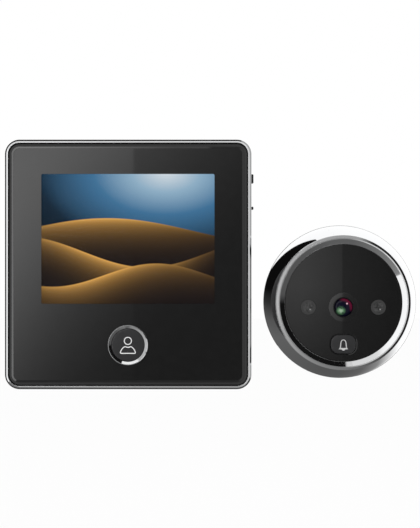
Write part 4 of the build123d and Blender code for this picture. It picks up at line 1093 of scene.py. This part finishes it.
def tentGlow():
    glow = Glow("tentGlow")
    x, y, z = glow.at
    radius = studio["tentRadius"]
    away = (y / -radius).arcCosine() * (180 / math.pi)
    # Hours run clockwise from the top as the viewer sees them
    hour = x.maths("ARCTAN2", x, z) * (6 / math.pi)
    hour = hour + (1.0 - hour.above(0.0, 0.001)) * 12.0

    def byHour(stops):
        stops = [(hours / 12, grey(value)) for hours, value in stops]
        return glow.node("ShaderNodeValToRGB", {"stops": stops}, {0: hour / 12.0})

    level = glow.node("ShaderNodeValue", {}, {})
    for zone, (start, blur, stops) in tent.items():
        share = away.above(byHour(start) if isinstance(start, list) else start, blur)
        if zone == "far":
            share = share * away.above(farStart, 0.5)
        level = level + share * (byHour(stops) - level)
    return glow.end(level)


def makeTent():
    bm = bmesh.new()
    bmesh.ops.create_uvsphere(bm, u_segments=64, v_segments=32, radius=studio["tentRadius"])
    mesh = bpy.data.meshes.new("tent")
    bm.to_mesh(mesh)
    bm.free()
    mesh.shade_smooth()
    mesh.materials.append(tentGlow())
    onlyReflected(addObject("tent", mesh))


def glareGlow():
    glow = Glow("glareGlow")
    x, _, z = glow.at
    # The panel sees it fall off from a bright upper left corner, and drop at an edge
    look = panelGlare
    right = (x - look["left"]) / look["step"]
    down = (look["head"] - z) / look["step"]
    fall = right * look["fall"] + right * right * look["across"] + right * down * look["corner"]
    fall = fall + down * down * look["down"]
    panel = (fall * -1.0).exponent() * look["level"] * (1.0 - look["past"] * x.above(look["edge"], 0.0005))
    panel = panel * (1.0 - x.above(look["end"], 0.001))
    # The disc sees it fade to the right in two runs, and towards its foot
    look = discGlare
    near = look["level"] + look["level"] * ((look["edge"] - x) / look["nearFade"]).clamp()
    far = look["past"] * ((look["end"] - x) / look["farFade"]).clamp()
    disc = near + x.above(look["edge"], 0.0005) * (far - near)
    disc = disc * x.above(look["left"], 0.001) * ((z - look["foot"]) / look["rise"]).clamp()
    return glow.end(panel + disc)


def makeGlare():
    corners = [(glare["left"], glare["foot"]), (glare["right"], glare["foot"]),
               (glare["right"], glare["head"]), (glare["left"], glare["head"])]
    mesh = bpy.data.meshes.new("glareCard")
    mesh.from_pydata([(x, glare["y"], z) for x, z in corners], [], [(0, 1, 2, 3)])
    mesh.materials.append(glareGlow())
    onlyReflected(addObject("glareCard", mesh))


def makeFloor():
    half, level = studio["floorSize"] / 2, studio["floor"]
    corners = [(-half, -half, level), (half, -half, level), (half, half, level), (-half, half, level)]
    mesh = bpy.data.meshes.new("floor")
    mesh.from_pydata(corners, [], [(0, 1, 2, 3)])
    finish = Finish("paleFloor", {"Base Color": grey(0.9), "Roughness": 0.9})
    mesh.materials.append(finish.material)
    floor = addObject("floor", mesh)
    floor.visible_glossy = False
    # Camera rays see the floor mostly as plain white, with its shading kept for the shadow
    ray = finish.node("ShaderNodeLightPath", {}, {}, "Is Camera Ray")
    white = finish.node("ShaderNodeEmission", {}, {})
    shaded = Wire(finish, finish.shader.outputs[0])
    blend = finish.node("ShaderNodeMixShader", {}, {0: ray * studio["floorWhite"], 1: shaded, 2: white})
    finish.tree.links.new(blend.socket, finish.tree.nodes["Material Output"].inputs["Surface"])


def makeWorld():
    world = bpy.data.worlds.new("studio")
    bpy.context.scene.world = world
    world.use_nodes = True
    background = world.node_tree.nodes["Background"]
    background.inputs["Color"].default_value = grey(1.0)
    background.inputs["Strength"].default_value = studio["world"]


def makeLamp(name, at, size, power):
    lamp = bpy.data.lights.new(name, "AREA")
    lamp.size = size
    lamp.energy = power
    made = addObject(name, lamp)
    made.location = at
    made.rotation_euler = (Vector(lampAim) - Vector(at)).to_track_quat("-Z", "Y").to_euler()
    made.visible_glossy = False


def makeCamera():
    lens = bpy.data.cameras.new("camera")
    lens.lens = view["lens"]
    lens.sensor_width = view["sensor"]
    camera = addObject("camera", lens)
    camera.location = (view["x"], view["y"], view["z"])
    camera.rotation_euler = (math.radians(90), 0, 0)
    bpy.context.scene.camera = camera


makeTent()
makeGlare()
makeFloor()
makeWorld()
makeCamera()
for lampName, lamp in lamps.items():
    makeLamp(lampName, **lamp)
bpy.context.scene.view_settings.view_transform = "Standard"
print("studio ready")
